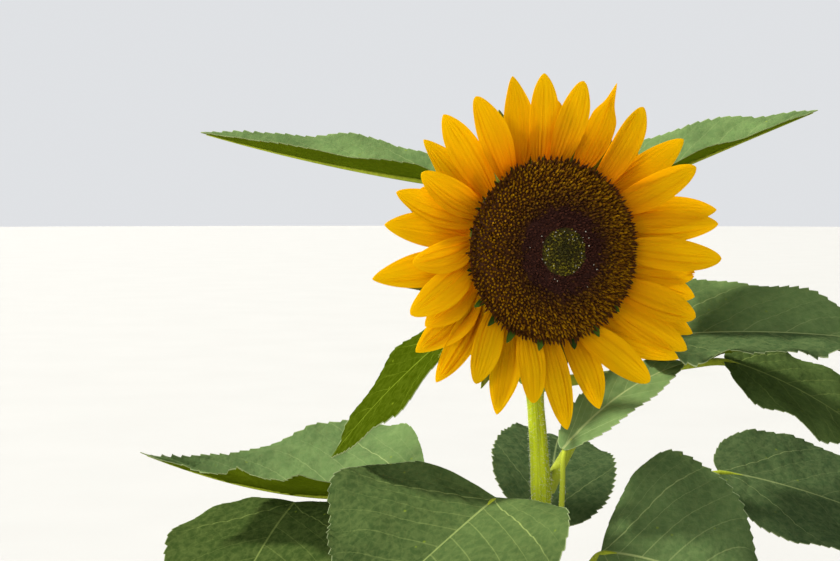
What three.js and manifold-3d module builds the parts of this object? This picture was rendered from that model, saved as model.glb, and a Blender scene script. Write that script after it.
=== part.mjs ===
// A garden sunflower in flower, from the flat cut of its stem at ground level to the tips of its petals.
// Units are millimetres, +Z is up, and the flower looks toward -Y, turned a little to +X.
// The origin is the centre of the flat cut under the stem.
import * as THREE from "three";
import { mergeVertices } from "three/addons/utils/BufferGeometryUtils.js";
import Module from "manifold-3d";

// Main stem
const STEM_TOP = 1205;
const STEM_TIP_RADIUS = 4.7;
const STEM_FOOT_GAIN = 5.8;
const STEM_TAPER_POWER = 0.9;
const ROOT_FLARE = 4;
const ROOT_FLARE_HEIGHT = 30;
const ROOT_RIBS = 5;
const ROOT_RIB_SHARE = 0.5;
const STEM_LEAN = 13.5;
const STEM_LEAN_HEIGHT = 1050;
const STEM_RETURN = 9;
const STEM_RETURN_START = 1095;
const STEM_RETURN_HEIGHT = 150;
const STEM_BELLY = 5;
const STEM_BELLY_HEIGHT = 1200;
const STEM_SIDES = 20;
const FOOT_LEVELS = [0, 8, 20, 38, 65, 105];
const UPPER_LEVELS = [980, 1060, 1100, 1130, 1160, 1185, STEM_TOP];
const STEM_LEVELS = [...FOOT_LEVELS, 220, 350, 480, 610, 740, 870, ...UPPER_LEVELS];

// Flower head, measured from the middle of its disc
const HEAD_CENTRE = [15, -52, 1250];
const HEAD_TURN = 22;
const DISC_RADIUS = 50;
const DISC_BACK = -2.4;
const DISC_UNDERCUT = 4.5;
const DOME_HEIGHT = 15;
const DOME_POWER = 0.8;
const DISC_EDGE_HEIGHT = 1.5;
const CENTRE_BUTTON_RADIUS = 13;
const DARK_RING_RADIUS = 24;
const TURNED_SIDES = 40;
const PIECE_GAP = 0.3;

// Receptacle, the green cup behind the disc: radius and distance along the head's axis
const CUP_PROFILE = [
  [42, -2.8],
  [42, -13],
  [39, -18],
  [30, -24],
  [18, -29],
  [9, -31.5],
];
const NECK_SIDES = 16;
const NECK_RINGS = 10;
const NECK_RISE = 26;
const NECK_REACH = 14;
const NECK_END_RADIUS = 8.2;

// Rings that the petals and the bracts grow from
const RING_INNER_RADIUS = 42.4;
const RING_OUTER_RADIUS = 48;
const RING_THICKNESS = 1.4;
const PETAL_LAYERS = [
  { name: "ray_petals_front", level: -4.3, lean: 5, fullness: 0.55 },
  { name: "ray_petals_middle", level: -6.5, lean: -1, fullness: 0.65 },
  { name: "ray_petals_back", level: -8.6, lean: -5, fullness: 0.72 },
];

// Petals: bearing of the root, then bearing and reach of the tip, then the layer
// Bearings are degrees from the flower's own left-to-right line, and the reach is from the head's axis
const PETAL_ROOT_RADIUS = 45;
const PETAL_WIDTH = 17.3;
const PETAL_THICKNESS = 0.9;
const PETAL_CUP = 1.4;
const PETAL_ARCH_SHARE = 0.042;
const PETAL_START = 0.09;
const RAY_WIDEST_POWER = 1.05;
const PETAL_STATIONS = [0, 0.16, 0.36, 0.58, 0.78, 0.92];
const PETALS = [
  [15, 7, 111, 1],
  [25, 11, 113, 2],
  [29, 27, 100, 0],
  [42, 36, 104, 1],
  [47, 45, 84, 2],
  [50, 54, 97, 0],
  [66, 65, 101, 1],
  [85, 78, 94, 0],
  [88, 84, 82, 2],
  [95, 91, 96, 1],
  [111, 100, 96, 2],
  [119, 116, 84, 2],
  [122, 119, 94, 0],
  [137, 130, 95, 1],
  [150, 139, 91, 2],
  [152, 151, 86, 0],
  [156, 155, 80, 2],
  [159, 160, 93, 1],
  [170, 171, 94, 2],
  [175, 184, 80, 0],
  [185, 188, 100, 2],
  [188, 202, 87, 0],
  [201, 209, 81, 1],
  [210, 216, 91, 2],
  [215, 228, 94, 2],
  [226, 238, 83, 0],
  [242, 254, 93, 2],
  [253, 264, 83, 0],
  [269, 277, 99, 1],
  [287, 293, 97, 2],
  [293, 309, 94, 0],
  [304, 323, 103, 2],
  [322, 327, 105, 1],
  [329, 333, 107, 2],
  [335, 337, 98, 0],
  [342, 344, 101, 2],
  [350, 351, 94, 1],
  [1, 357, 105, 0],
];

// Bracts behind the petals, in two rows
const BRACT_LEVEL = -10.8;
const BRACT_RING_THICKNESS = 2.4;
const BRACTS_IN_A_ROW = 13;
const BRACT_ROWS = [
  { lean: -8, length: 37.5, width: 19, turn: 0 },
  { lean: -26, length: 30.5, width: 17, turn: 180 / BRACTS_IN_A_ROW },
];
const BRACT_START = 0.26;
const BRACT_FULLNESS = 0.72;
const BRACT_THICKNESS = 1.1;
const BRACT_ARCH_SHARE = -0.085;
const BRACT_CUP = 2.4;

// Leaves: height of the foot on the stem, then bearing, length and rise of the leaf stalk and of the blade
// Bearings are degrees from +X toward +Y, and fold, roll and rise are degrees too
// Bow, sway, belly and lobe are shares of the blade's length
const UPPER_LEAVES = [
  {
    name: "leaf_upper_left", height: 1197, arch: 0.12, stalk: [137, 102, 61], blade: [171, 164, 11],
    width: 62, fold: 26, roll: 11, bow: -0.02, sway: 0, belly: 0.37, lobe: 0.02,
  },
  {
    name: "leaf_upper_right", height: 1184, arch: 0.12, stalk: [51, 106, 59], blade: [12, 158, 21],
    width: 66, fold: 25, roll: -14, bow: 0, sway: 0, belly: 0.36, lobe: 0.02,
  },
  {
    name: "leaf_mid_left", height: 1177, arch: 0.15, stalk: [206, 58, 27], blade: [152, 110, -44],
    width: 78, fold: 2, roll: 34, bow: 0.02, sway: -0.05, belly: 0.36, lobe: 0.04,
  },
  {
    name: "leaf_right_far", height: 1172, arch: 0, stalk: [30, 140, 3], blade: [-8, 113, -29],
    width: 105, fold: 2, roll: -18, bow: 0.06, sway: -0.01, belly: 0.44, lobe: 0.06,
  },
  {
    name: "leaf_right_broad", height: 1112, arch: 0.08, stalk: [39, 112, 47], blade: [-12, 167, -1],
    width: 101, fold: 10, roll: -25, bow: 0.04, sway: 0.02, belly: 0.33, lobe: 0.11,
  },
  {
    name: "leaf_low_left", height: 1091, arch: 0.04, stalk: [173, 71, 16], blade: [173, 170, 6],
    width: 132, fold: 22, roll: 13, bow: -0.1, sway: 0.13, belly: 0.27, lobe: -0.05,
  },
  {
    name: "leaf_front", height: 1071, arch: 0.1, stalk: [239, 70, 38], blade: [215, 104, -32],
    width: 168, fold: 12, roll: 11, bow: 0.04, sway: -0.04, belly: 0.43, lobe: 0.19,
  },
  {
    name: "leaf_right_small", height: 1050, arch: 0.02, stalk: [-54, 88, 78], blade: [20, 90, 31],
    width: 37, fold: 9, roll: -31, bow: 0.07, sway: -0.04, belly: 0.46, lobe: 0.02,
  },
  {
    name: "leaf_right_front", height: 1030, arch: 0.1, stalk: [-32, 62, 52], blade: [-11, 104, -21],
    width: 160, fold: 4, roll: -39, bow: 0.1, sway: 0.06, belly: 0.34, lobe: 0.09,
  },
  {
    name: "leaf_back", height: 1038, arch: 0.08, stalk: [80, 57, 53], blade: [82, 151, 11],
    width: 80, fold: 7, roll: -13, bow: 0.13, sway: 0, belly: 0.35, lobe: 0.1,
  },
  {
    name: "leaf_right_shade", height: 1015, arch: 0.12, stalk: [31, 163, 36], blade: [-3, 178, -21],
    width: 118, fold: 2, roll: -25, bow: 0.05, sway: -0.01, belly: 0.38, lobe: 0.12,
  },
  {
    name: "leaf_left_shade", height: 1008, arch: 0.06, stalk: [160, 177, 29], blade: [243, 118, -38],
    width: 130, fold: 5, roll: -4, bow: 0.07, sway: 0, belly: 0.39, lobe: 0.1,
  },
];

// Leaves lower on the stem follow one rule of size and turn
const LOWER_LEAVES = 13;
const LOWEST_LEAF = 92;
const LOWER_LEAF_STEP = 70;
const GOLDEN_TURN = 137.5;
const LOWER_FIRST_BEARING = 40;
const LOWER_SHORTEST = 165;
const LOWER_LENGTH_GAIN = 65;
const LOWER_WIDTH_SHARE = 0.84;
const LOWER_STALK_SHARE = 0.58;
const LOWER_STALK_RISE = [30, 46];
const LOWER_STALK_ARCH = 0.12;
const LOWER_BLADE_RISE = [-34, -26];
const LOWER_FOLD = 7;
const LOWER_ROLL = 6;
const LOWER_BOW = 0.09;
const LOWER_BELLY = 0.36;
const LOWER_LOBE = 0.13;

// What all leaves share, as shares of the blade's length or half width
const LEAF_THICKNESS_SHARE = 0.0125;
const RIB_SHARE = 0.5;
const RUFFLE = 0.05;
const RUFFLE_WAVES = 2.3;
const RUFFLE_SHIFT = 0.2;
const STALK_SPREAD = 0.1;
const STALK_RADIUS = [3.3, 2.5];
const TIP_SHARE = 0.999;
const STALK_CLEARANCE = 0.4;
const STALK_STATIONS = [0, 0.18, 0.42, 0.7];
const BLADE_STATIONS = [0.03, 0.11, 0.23, 0.38, 0.54, 0.7, 0.85, 0.95];
const ACROSS = [-1, -0.5, 0, 0.5, 1];
const WIDTH_POWER = 0.6;

const UP = new THREE.Vector3(0, 0, 1);
const wasm = await Module();
wasm.setup();

function point(x, y, z) {
  return new THREE.Vector3(x, y, z);
}

function radians(degrees) {
  return THREE.MathUtils.degToRad(degrees);
}

function smooth(value) {
  return THREE.MathUtils.smoothstep(value, 0, 1);
}

function mix(a, b, share) {
  return a + (b - a) * share;
}

// A unit vector from a compass bearing and a rise above the horizontal.
function direction(bearing, rise) {
  const flat = Math.cos(radians(rise));
  const turn = radians(bearing);
  return point(flat * Math.cos(turn), flat * Math.sin(turn), Math.sin(radians(rise)));
}

// The vector at a share t of the way from one vector to another.
function blend(a, b, t) {
  return a.clone().multiplyScalar(1 - t).addScaledVector(b, t);
}

function bezier2(a, b, c, t) {
  return blend(blend(a, b, t), blend(b, c, t), t);
}

// A closed surface through rings of points, each with the same count; an apex closes the last ring.
function loft(rings, apex = null) {
  const count = rings[0].length;
  const points = rings.flat();
  const faces = [];
  for (let k = 0; k + 1 < rings.length; k++)
    for (let i = 0; i < count; i++) {
      const a = k * count + i;
      const b = k * count + ((i + 1) % count);
      faces.push([a, b, b + count], [a, b + count, a + count]);
    }
  const middle = (ring) => ring.reduce((sum, p) => sum.add(p), point(0, 0, 0)).divideScalar(count);
  const last = (rings.length - 1) * count;
  const start = points.push(middle(rings[0])) - 1;
  const end = points.push(apex || middle(rings.at(-1))) - 1;
  for (let i = 0; i < count; i++) {
    const next = (i + 1) % count;
    faces.push([start, next, i], [end, last + i, last + next]);
  }
  return closedGeometry(points, faces);
}

// A geometry whose faces point out, whichever way its faces were listed.
function closedGeometry(points, faces) {
  let volume = 0;
  for (const [a, b, c] of faces)
    volume += points[a].dot(points[b].clone().cross(points[c]));
  const index = volume < 0 ? faces.flatMap(([a, b, c]) => [a, c, b]) : faces.flat();
  const geometry = new THREE.BufferGeometry().setFromPoints(points);
  geometry.setIndex(index);
  return geometry;
}

function solidOf(geometry) {
  const bare = geometry.clone();
  bare.deleteAttribute("normal");
  bare.deleteAttribute("uv");
  const merged = mergeVertices(bare, 1e-3);
  const vertProperties = merged.attributes.position.array;
  const triVerts = new Uint32Array(merged.index.array);
  return new wasm.Manifold(new wasm.Mesh({ numProp: 3, vertProperties, triVerts }));
}

function geometryOf(solid) {
  const { vertProperties, triVerts } = solid.getMesh();
  const geometry = new THREE.BufferGeometry();
  geometry.setAttribute("position", new THREE.BufferAttribute(new Float32Array(vertProperties), 3));
  geometry.setIndex(new THREE.BufferAttribute(new Uint32Array(triVerts), 1));
  return geometry;
}

// One solid from a ring and all the blades that grow from it.
function joined(geometries) {
  return geometryOf(geometries.map(solidOf).reduce((sum, next) => sum.add(next)));
}

// A solid of revolution about the head's axis, from pairs of radius and distance along the axis.
function turned(profile) {
  const points = profile.map(([radius, along]) => new THREE.Vector2(radius, along));
  const geometry = new THREE.LatheGeometry(points, TURNED_SIDES);
  geometry.rotateX(Math.PI / 2);
  const bare = mergeVertices(geometry.deleteAttribute("normal").deleteAttribute("uv"), 1e-3);
  const corners = bare.attributes.position;
  const corner = (_, i) => point(0, 0, 0).fromBufferAttribute(corners, i);
  const list = Array.from({ length: corners.count }, corner);
  const faces = [];
  for (let i = 0; i < bare.index.count; i += 3) {
    const face = [bare.index.getX(i), bare.index.getX(i + 1), bare.index.getX(i + 2)];
    if (new Set(face).size === 3) faces.push(face);
  }
  return closedGeometry(list, faces);
}

// A plain finish in one colour.
function finish(color, roughness) {
  return new THREE.MeshStandardMaterial({ color, roughness, metalness: 0 });
}

const stemMaterial = () => finish(0x8a9c22, 0.75);
const leafMaterial = () => finish(0x6b8348, 0.8);
const bractMaterial = () => finish(0x6f8a34, 0.75);
const petalMaterial = () => finish(0xe09c04, 0.6);
const rimFloretMaterial = () => finish(0x563a08, 0.85);
const darkFloretMaterial = () => finish(0x2d1a0e, 0.9);
const budFloretMaterial = () => finish(0x3d3c24, 0.85);

function stemCentre(z) {
  const lean = STEM_LEAN * smooth(z / STEM_LEAN_HEIGHT);
  const back = STEM_RETURN * smooth((z - STEM_RETURN_START) / STEM_RETURN_HEIGHT);
  return point(lean - back, STEM_BELLY * Math.sin((Math.PI * z) / STEM_BELLY_HEIGHT), z);
}

function stemRadius(z) {
  return STEM_TIP_RADIUS + STEM_FOOT_GAIN * (1 - z / STEM_TOP) ** STEM_TAPER_POWER;
}

// The ribbed swelling where the stem meets the ground.
function rootFlare(z, angle) {
  return ROOT_FLARE * Math.exp(-z / ROOT_FLARE_HEIGHT) * (1 + ROOT_RIB_SHARE * Math.cos(ROOT_RIBS * angle));
}

function stem() {
  const rings = STEM_LEVELS.map((z) =>
    Array.from({ length: STEM_SIDES }, (_, i) => {
      const angle = (i / STEM_SIDES) * 2 * Math.PI;
      const radius = stemRadius(z) + rootFlare(z, angle);
      return stemCentre(z).add(point(radius * Math.cos(angle), radius * Math.sin(angle), 0));
    }),
  );
  return new THREE.Mesh(loft(rings), stemMaterial());
}

function headFacing() {
  return point(Math.sin(radians(HEAD_TURN)), -Math.cos(radians(HEAD_TURN)), 0);
}

// Points round a centre in the plane of two unit vectors; the first stands at the start angle.
function roundRing(centre, side, across, radius, count, startAngle) {
  return Array.from({ length: count }, (_, i) => {
    const angle = startAngle + (i / count) * 2 * Math.PI;
    const spoke = side.clone().multiplyScalar(Math.cos(angle)).addScaledVector(across, Math.sin(angle));
    return spoke.multiplyScalar(radius).add(centre);
  });
}

// The bent top of the stem, from its straight part to the back of the receptacle.
function neck() {
  const facing = headFacing();
  const start = stemCentre(STEM_TOP).add(point(0, 0, PIECE_GAP));
  const end = point(...HEAD_CENTRE).addScaledVector(facing, CUP_PROFILE.at(-1)[1] - PIECE_GAP);
  const curve = new THREE.CubicBezierCurve3(
    start,
    start.clone().addScaledVector(UP, NECK_RISE),
    end.clone().addScaledVector(facing, -NECK_REACH),
    end,
  );
  const level = facing.clone().cross(UP);
  const rings = Array.from({ length: NECK_RINGS + 1 }, (_, k) => {
    const t = k / NECK_RINGS;
    const along = curve.getTangent(t);
    const side = level.clone().addScaledVector(along, -level.dot(along)).normalize();
    const across = along.clone().cross(side);
    const radius = mix(STEM_TIP_RADIUS, NECK_END_RADIUS, t * t);
    return roundRing(curve.getPoint(t), side, across, radius, NECK_SIDES, 0);
  });
  return new THREE.Mesh(loft(rings), stemMaterial());
}

function domeHeight(radius) {
  return DISC_EDGE_HEIGHT + DOME_HEIGHT * (1 - (radius / DISC_RADIUS) ** 2) ** DOME_POWER;
}

// A ring or button of the disc between two radii, domed on its face and flat at its back.
function discPiece(inner, outer, steps) {
  const face = Array.from({ length: steps + 1 }, (_, i) => {
    const radius = mix(outer, inner, i / steps);
    return [radius, domeHeight(radius)];
  });
  const foot = outer === DISC_RADIUS ? outer - DISC_UNDERCUT : outer;
  const profile = [[inner, DISC_BACK], [foot, DISC_BACK], ...face];
  if (inner > 0) profile.push([inner, DISC_BACK]);
  return turned(profile);
}

function rimFlorets() {
  const ring = discPiece(DARK_RING_RADIUS + PIECE_GAP, DISC_RADIUS, 6);
  return new THREE.Mesh(ring, rimFloretMaterial());
}

function darkFlorets() {
  const ring = discPiece(CENTRE_BUTTON_RADIUS + PIECE_GAP, DARK_RING_RADIUS, 2);
  return new THREE.Mesh(ring, darkFloretMaterial());
}

function budFlorets() {
  return new THREE.Mesh(discPiece(0, CENTRE_BUTTON_RADIUS, 3), budFloretMaterial());
}

function receptacle() {
  const [front, back] = [CUP_PROFILE[0][1], CUP_PROFILE.at(-1)[1]];
  return new THREE.Mesh(turned([[0, front], ...CUP_PROFILE, [0, back]]), bractMaterial());
}

function baseRing(level, thickness) {
  const low = level - thickness / 2;
  const high = level + thickness / 2;
  return turned([
    [RING_INNER_RADIUS, low],
    [RING_OUTER_RADIUS, low],
    [RING_OUTER_RADIUS, high],
    [RING_INNER_RADIUS, high],
    [RING_INNER_RADIUS, low],
  ]);
}

// A pointed blade that runs straight from its root on the ring to its tip, cupped across and arched along.
function rayBlade({ root, tip, reach, lean, level, width, start, fullness, thickness, cup, archShare }) {
  const from = direction(root, 0).multiplyScalar(PETAL_ROOT_RADIUS);
  const out = direction(tip, 0).multiplyScalar(reach).sub(from);
  const side = point(-out.y, out.x, 0).normalize();
  const rise = out.length() * Math.tan(radians(lean));
  const arch = out.length() * archShare;
  const place = (t, s, lift) => {
    const half = halfWidth(t, width, start, fullness);
    const height = level + rise * t + (arch + cup * s * s) * Math.sin(Math.PI * t) + lift;
    return from.clone().addScaledVector(out, t).addScaledVector(side, s * half).addScaledVector(UP, height);
  };
  const rings = PETAL_STATIONS.map((t) => [
    ...[-1, 0, 1].map((s) => place(t, s, thickness / 2)),
    ...[1, 0, -1].map((s) => place(t, s, -thickness / 2)),
  ]);
  return loft(rings, place(1, 0, 0));
}

// Half the width of a petal or bract: it starts part of the way up its curve and ends in a point.
function halfWidth(t, width, start, fullness) {
  return (width / 2) * Math.sin(Math.PI * mix(start, 1, t) ** RAY_WIDEST_POWER) ** fullness;
}

function petalRing(layer) {
  const { level, lean, fullness } = PETAL_LAYERS[layer];
  const blades = PETALS.filter((petal) => petal[3] === layer).map(([root, tip, reach]) =>
    rayBlade({
      root,
      tip,
      reach,
      lean,
      level,
      width: PETAL_WIDTH,
      start: PETAL_START,
      fullness,
      thickness: PETAL_THICKNESS,
      cup: PETAL_CUP,
      archShare: PETAL_ARCH_SHARE,
    }),
  );
  return new THREE.Mesh(joined([baseRing(level, RING_THICKNESS), ...blades]), petalMaterial());
}

function bracts() {
  const blades = BRACT_ROWS.flatMap((row) =>
    Array.from({ length: BRACTS_IN_A_ROW }, (_, i) => {
      const bearing = row.turn + (i * 360) / BRACTS_IN_A_ROW;
      return rayBlade({
        root: bearing,
        tip: bearing,
        reach: PETAL_ROOT_RADIUS + row.length,
        lean: row.lean,
        level: BRACT_LEVEL,
        width: row.width,
        start: BRACT_START,
        fullness: BRACT_FULLNESS,
        thickness: BRACT_THICKNESS,
        cup: BRACT_CUP,
        archShare: BRACT_ARCH_SHARE,
      });
    }),
  );
  return new THREE.Mesh(joined([baseRing(BRACT_LEVEL, BRACT_RING_THICKNESS), ...blades]), bractMaterial());
}

// The rule of a leaf: an arched stalk from the stem, then a pointed blade folded along its midrib.
function leafShape(leaf) {
  const foot = stemCentre(leaf.height);
  const out = direction(leaf.stalk[0], 0);
  const start = foot.clone().addScaledVector(out, stemRadius(leaf.height) + STALK_CLEARANCE);
  const heart = foot.clone().addScaledVector(direction(leaf.stalk[0], leaf.stalk[2]), leaf.stalk[1]);
  const tip = heart.clone().addScaledVector(direction(leaf.blade[0], leaf.blade[2]), leaf.blade[1]);
  const heading = direction(leaf.blade[0], 0);
  const level = point(heading.y, -heading.x, 0);
  const middle = heart.clone().add(tip).multiplyScalar(0.5);
  middle.addScaledVector(UP, 2 * leaf.bow * leaf.blade[1]);
  middle.addScaledVector(level, 2 * leaf.sway * leaf.blade[1]);
  const stalkMiddle = start.clone().add(heart).multiplyScalar(0.5);
  stalkMiddle.addScaledVector(UP, 2 * leaf.arch * leaf.stalk[1]);
  stalkMiddle.addScaledVector(out, STALK_SPREAD * leaf.stalk[1]);
  return { out, start, heart, tip, level, middle, stalkMiddle };
}

function frameAt(along, level, roll) {
  const normal = level.clone().cross(along).normalize();
  const side = along.clone().cross(normal).normalize();
  const turn = radians(roll);
  return {
    side: side.clone().multiplyScalar(Math.cos(turn)).addScaledVector(normal, Math.sin(turn)),
    normal: normal.clone().multiplyScalar(Math.cos(turn)).addScaledVector(side, -Math.sin(turn)),
  };
}

function bladeShare(t, belly) {
  const tail = (WIDTH_POWER * (1 - belly)) / belly;
  return (t / belly) ** WIDTH_POWER * ((1 - t) / (1 - belly)) ** tail;
}

function bladePoint(leaf, shape, t, s, lift) {
  const { heart, middle, tip, level } = shape;
  const along = blend(middle.clone().sub(heart), tip.clone().sub(middle), t).normalize();
  const { side, normal } = frameAt(along, level, leaf.roll);
  const share = bladeShare(t, leaf.belly);
  const half = leaf.width / 2;
  const across = s * half * share;
  const phase = 2 * Math.PI * (RUFFLE_WAVES * t + RUFFLE_SHIFT * Math.sign(s));
  const wave = RUFFLE * half * Math.abs(s) ** 3 * share * Math.sin(phase);
  const rise = Math.abs(across) * Math.sin(radians(leaf.fold)) + wave + lift;
  const back = leaf.lobe * leaf.blade[1] * s * s * share * (1 - t) ** 3;
  return bezier2(heart, middle, tip, t)
    .addScaledVector(side, across * Math.cos(radians(leaf.fold)))
    .addScaledVector(normal, rise)
    .addScaledVector(along, -back);
}

function stalkRing(shape, leaf, t) {
  const { start, stalkMiddle, heart, out } = shape;
  const arc = blend(stalkMiddle.clone().sub(start), heart.clone().sub(stalkMiddle), t).normalize();
  const along = t === 0 ? out : arc;
  const level = point(along.y, -along.x, 0).normalize();
  const { side, normal } = frameAt(along, level, leaf.roll * t);
  const centre = bezier2(start, stalkMiddle, heart, t);
  const count = 2 * ACROSS.length;
  const turn = Math.PI - Math.PI / count;
  return roundRing(centre, side, normal.negate(), mix(...STALK_RADIUS, t), count, -turn);
}

function bladeRing(leaf, shape, t) {
  const thin = (LEAF_THICKNESS_SHARE * leaf.blade[1]) / 2;
  const rib = (s) => (s === 0 ? thin * RIB_SHARE * (1 - t) : 0);
  return [
    ...ACROSS.map((s) => bladePoint(leaf, shape, t, s, thin)),
    ...ACROSS.map((s) => bladePoint(leaf, shape, t, -s, -thin - rib(s))),
  ];
}

function leafMesh(leaf) {
  const shape = leafShape(leaf);
  const rings = [
    ...STALK_STATIONS.map((t) => stalkRing(shape, leaf, t)),
    ...BLADE_STATIONS.map((t) => bladeRing(leaf, shape, t)),
  ];
  const mesh = new THREE.Mesh(loft(rings, bladePoint(leaf, shape, TIP_SHARE, 0, 0)), leafMaterial());
  mesh.name = leaf.name;
  return mesh;
}

// The lower leaves grow larger toward the middle of the stem and turn by the golden angle.
function lowerLeaf(index) {
  const share = index / (LOWER_LEAVES - 1);
  const length = LOWER_SHORTEST + LOWER_LENGTH_GAIN * Math.sin(Math.PI * share);
  const bearing = LOWER_FIRST_BEARING + GOLDEN_TURN * index;
  const roll = index % 2 ? LOWER_ROLL : -LOWER_ROLL;
  return {
    name: `leaf_lower_${String(index + 1).padStart(2, "0")}`,
    height: LOWEST_LEAF + LOWER_LEAF_STEP * index,
    stalk: [bearing, LOWER_STALK_SHARE * length, mix(...LOWER_STALK_RISE, share)],
    blade: [bearing + roll, length, mix(...LOWER_BLADE_RISE, share)],
    arch: LOWER_STALK_ARCH,
    width: LOWER_WIDTH_SHARE * length,
    fold: LOWER_FOLD,
    roll,
    bow: LOWER_BOW,
    sway: 0,
    belly: LOWER_BELLY,
    lobe: LOWER_LOBE,
  };
}

function named(name, mesh) {
  mesh.name = name;
  return mesh;
}

const plant = new THREE.Group();
plant.add(named("stem", stem()), named("neck", neck()));

const head = new THREE.Group();
head.position.set(...HEAD_CENTRE);
head.rotation.set(Math.PI / 2, 0, radians(HEAD_TURN), "ZYX");
head.add(named("receptacle", receptacle()));
head.add(named("bracts", bracts()));
PETAL_LAYERS.forEach(({ name }, layer) => head.add(named(name, petalRing(layer))));
head.add(named("rim_florets", rimFlorets()));
head.add(named("dark_florets", darkFlorets()));
head.add(named("bud_florets", budFlorets()));
plant.add(head);

const lowerLeaves = Array.from({ length: LOWER_LEAVES }, (_, index) => lowerLeaf(index));
plant.add(...[...UPPER_LEAVES, ...lowerLeaves].map(leafMesh));

export default plant;
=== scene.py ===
"""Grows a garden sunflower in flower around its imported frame.

The rules of the stem, the leaves and the flower head are the same as in the part's source.
Here they are carried to toothed leaves with veins, grooved petals, single florets and hairs.
Sizes in the rules are millimetres, and every mesh is made in metres.
"""

import math

import bpy
import numpy as np
from bpy.props import FloatProperty, FloatVectorProperty, IntProperty, PointerProperty
from bpy.types import Operator, Panel, PropertyGroup
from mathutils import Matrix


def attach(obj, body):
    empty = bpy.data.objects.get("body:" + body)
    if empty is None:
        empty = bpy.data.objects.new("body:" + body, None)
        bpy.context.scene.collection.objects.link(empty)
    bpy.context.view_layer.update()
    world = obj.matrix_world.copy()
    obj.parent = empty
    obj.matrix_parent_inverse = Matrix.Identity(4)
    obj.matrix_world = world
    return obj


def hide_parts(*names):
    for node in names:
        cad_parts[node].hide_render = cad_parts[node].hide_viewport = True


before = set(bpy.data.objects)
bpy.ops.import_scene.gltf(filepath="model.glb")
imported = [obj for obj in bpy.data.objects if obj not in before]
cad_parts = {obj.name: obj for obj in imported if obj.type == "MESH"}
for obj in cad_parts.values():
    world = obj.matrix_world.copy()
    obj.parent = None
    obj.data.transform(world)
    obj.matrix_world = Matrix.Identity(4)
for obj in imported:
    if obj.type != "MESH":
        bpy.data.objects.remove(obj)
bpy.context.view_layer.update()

bl_info = {
    "name": "Garden Sunflower",
    "version": (1, 0, 0),
    "blender": (4, 5, 0),
    "location": "View3D > Sidebar > Sunflower",
    "description": "Grows a garden sunflower in flower around its packed frame",
    "category": "Object",
}

MM = 0.001
UP = np.array([0.0, 0.0, 1.0])
SHARP_ANGLE = 50

# Main stem
STEM_TOP = 1205
STEM_TIP_RADIUS = 4.7
STEM_FOOT_GAIN = 5.8
STEM_TAPER_POWER = 0.9
ROOT_FLARE = 4
ROOT_FLARE_HEIGHT = 30
ROOT_RIBS = 5
ROOT_RIB_SHARE = 0.5
STEM_LEAN = 13.5
STEM_LEAN_HEIGHT = 1050
STEM_RETURN = 9
STEM_RETURN_START = 1095
STEM_RETURN_HEIGHT = 150
STEM_BELLY = 5
STEM_BELLY_HEIGHT = 1200
STEM_SIDES = 56
STEM_STEP = 4
STEM_FURROWS = 22
FURROW_SWAY = 0.6
FURROW_SWAY_LENGTH = 90
FURROW_DEPTH = 0.16
FOOT_FURROW_GAIN = 2.2
FOOT_FURROW_HEIGHT = 260
STEM_UNEVENNESS = 0.3
STEM_UNEVEN_LENGTH = 38
STEM_RIPPLE_SEED = 11
STEM_SEED = 21
NODE_SWELLING = 1.3
NODE_SWELLING_HEIGHT = 7
NODE_SWELLING_BACK = 0.25

# Neck, the bent top of the stem
NECK_RINGS = 34
NECK_RISE = 26
NECK_REACH = 14
NECK_END_RADIUS = 8.2
NECK_SINK = 2.5

# Flower head, measured from the middle of its disc
HEAD_CENTRE = np.array([15.0, -52.0, 1250.0])
HEAD_TURN = 22
DISC_RADIUS = 50
DOME_HEIGHT = 15
DOME_POWER = 0.8
DISC_EDGE_HEIGHT = 1.5
DISC_BACK = -2.4
DISC_UNDERCUT = 4.5
BUTTON_RADIUS = 13
DARK_RING_RADIUS = 24
CUP_PROFILE = [
    (45.3, -2.6), (45.4, -6), (45.8, -10), (43.5, -13.5), (39, -18), (30, -24), (18, -29),
    (9, -31.5), (6, -32),
]
CUP_SIDES = 120
CUP_RINGS = 46
CUP_RIBS = 30
CUP_RIB_DEPTH = 0.35
CUP_RIB_RADIUS = 30

# Petal layers: node, level, lean and how full the blade is toward its ends
PETAL_LAYERS = [
    ("ray_petals_front", -4.3, 5, 0.55),
    ("ray_petals_middle", -6.5, -1, 0.65),
    ("ray_petals_back", -8.6, -5, 0.72),
]

# Petals: bearing of the root, then bearing and reach of the tip, then the layer
# Bearings are degrees from the flower's own left-to-right line, and the reach is from the head's axis
PETAL_ROOT_RADIUS = 45
PETAL_WIDTH = 17.3
PETAL_CUP = 1.4
PETAL_ARCH_SHARE = 0.042
PETAL_START = 0.09
RAY_WIDEST_POWER = 1.05
PETALS = [
    (15, 7, 111, 1), (25, 11, 113, 2), (29, 27, 100, 0), (42, 36, 104, 1), (47, 45, 84, 2),
    (50, 54, 97, 0), (66, 65, 101, 1), (85, 78, 94, 0), (88, 84, 82, 2), (95, 91, 96, 1),
    (111, 100, 96, 2), (119, 116, 84, 2), (122, 119, 94, 0), (137, 130, 95, 1), (150, 139, 91, 2),
    (152, 151, 86, 0), (156, 155, 80, 2), (159, 160, 93, 1), (170, 171, 94, 2), (175, 184, 80, 0),
    (185, 188, 100, 2), (188, 202, 87, 0), (201, 209, 81, 1), (210, 216, 91, 2), (215, 228, 94, 2),
    (226, 238, 83, 0), (242, 254, 93, 2), (253, 264, 83, 0), (269, 277, 99, 1), (287, 293, 97, 2),
    (293, 309, 94, 0), (304, 323, 103, 2), (322, 327, 105, 1), (329, 333, 107, 2), (335, 337, 98, 0),
    (342, 344, 101, 2), (350, 351, 94, 1), (1, 357, 105, 0),
]

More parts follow.
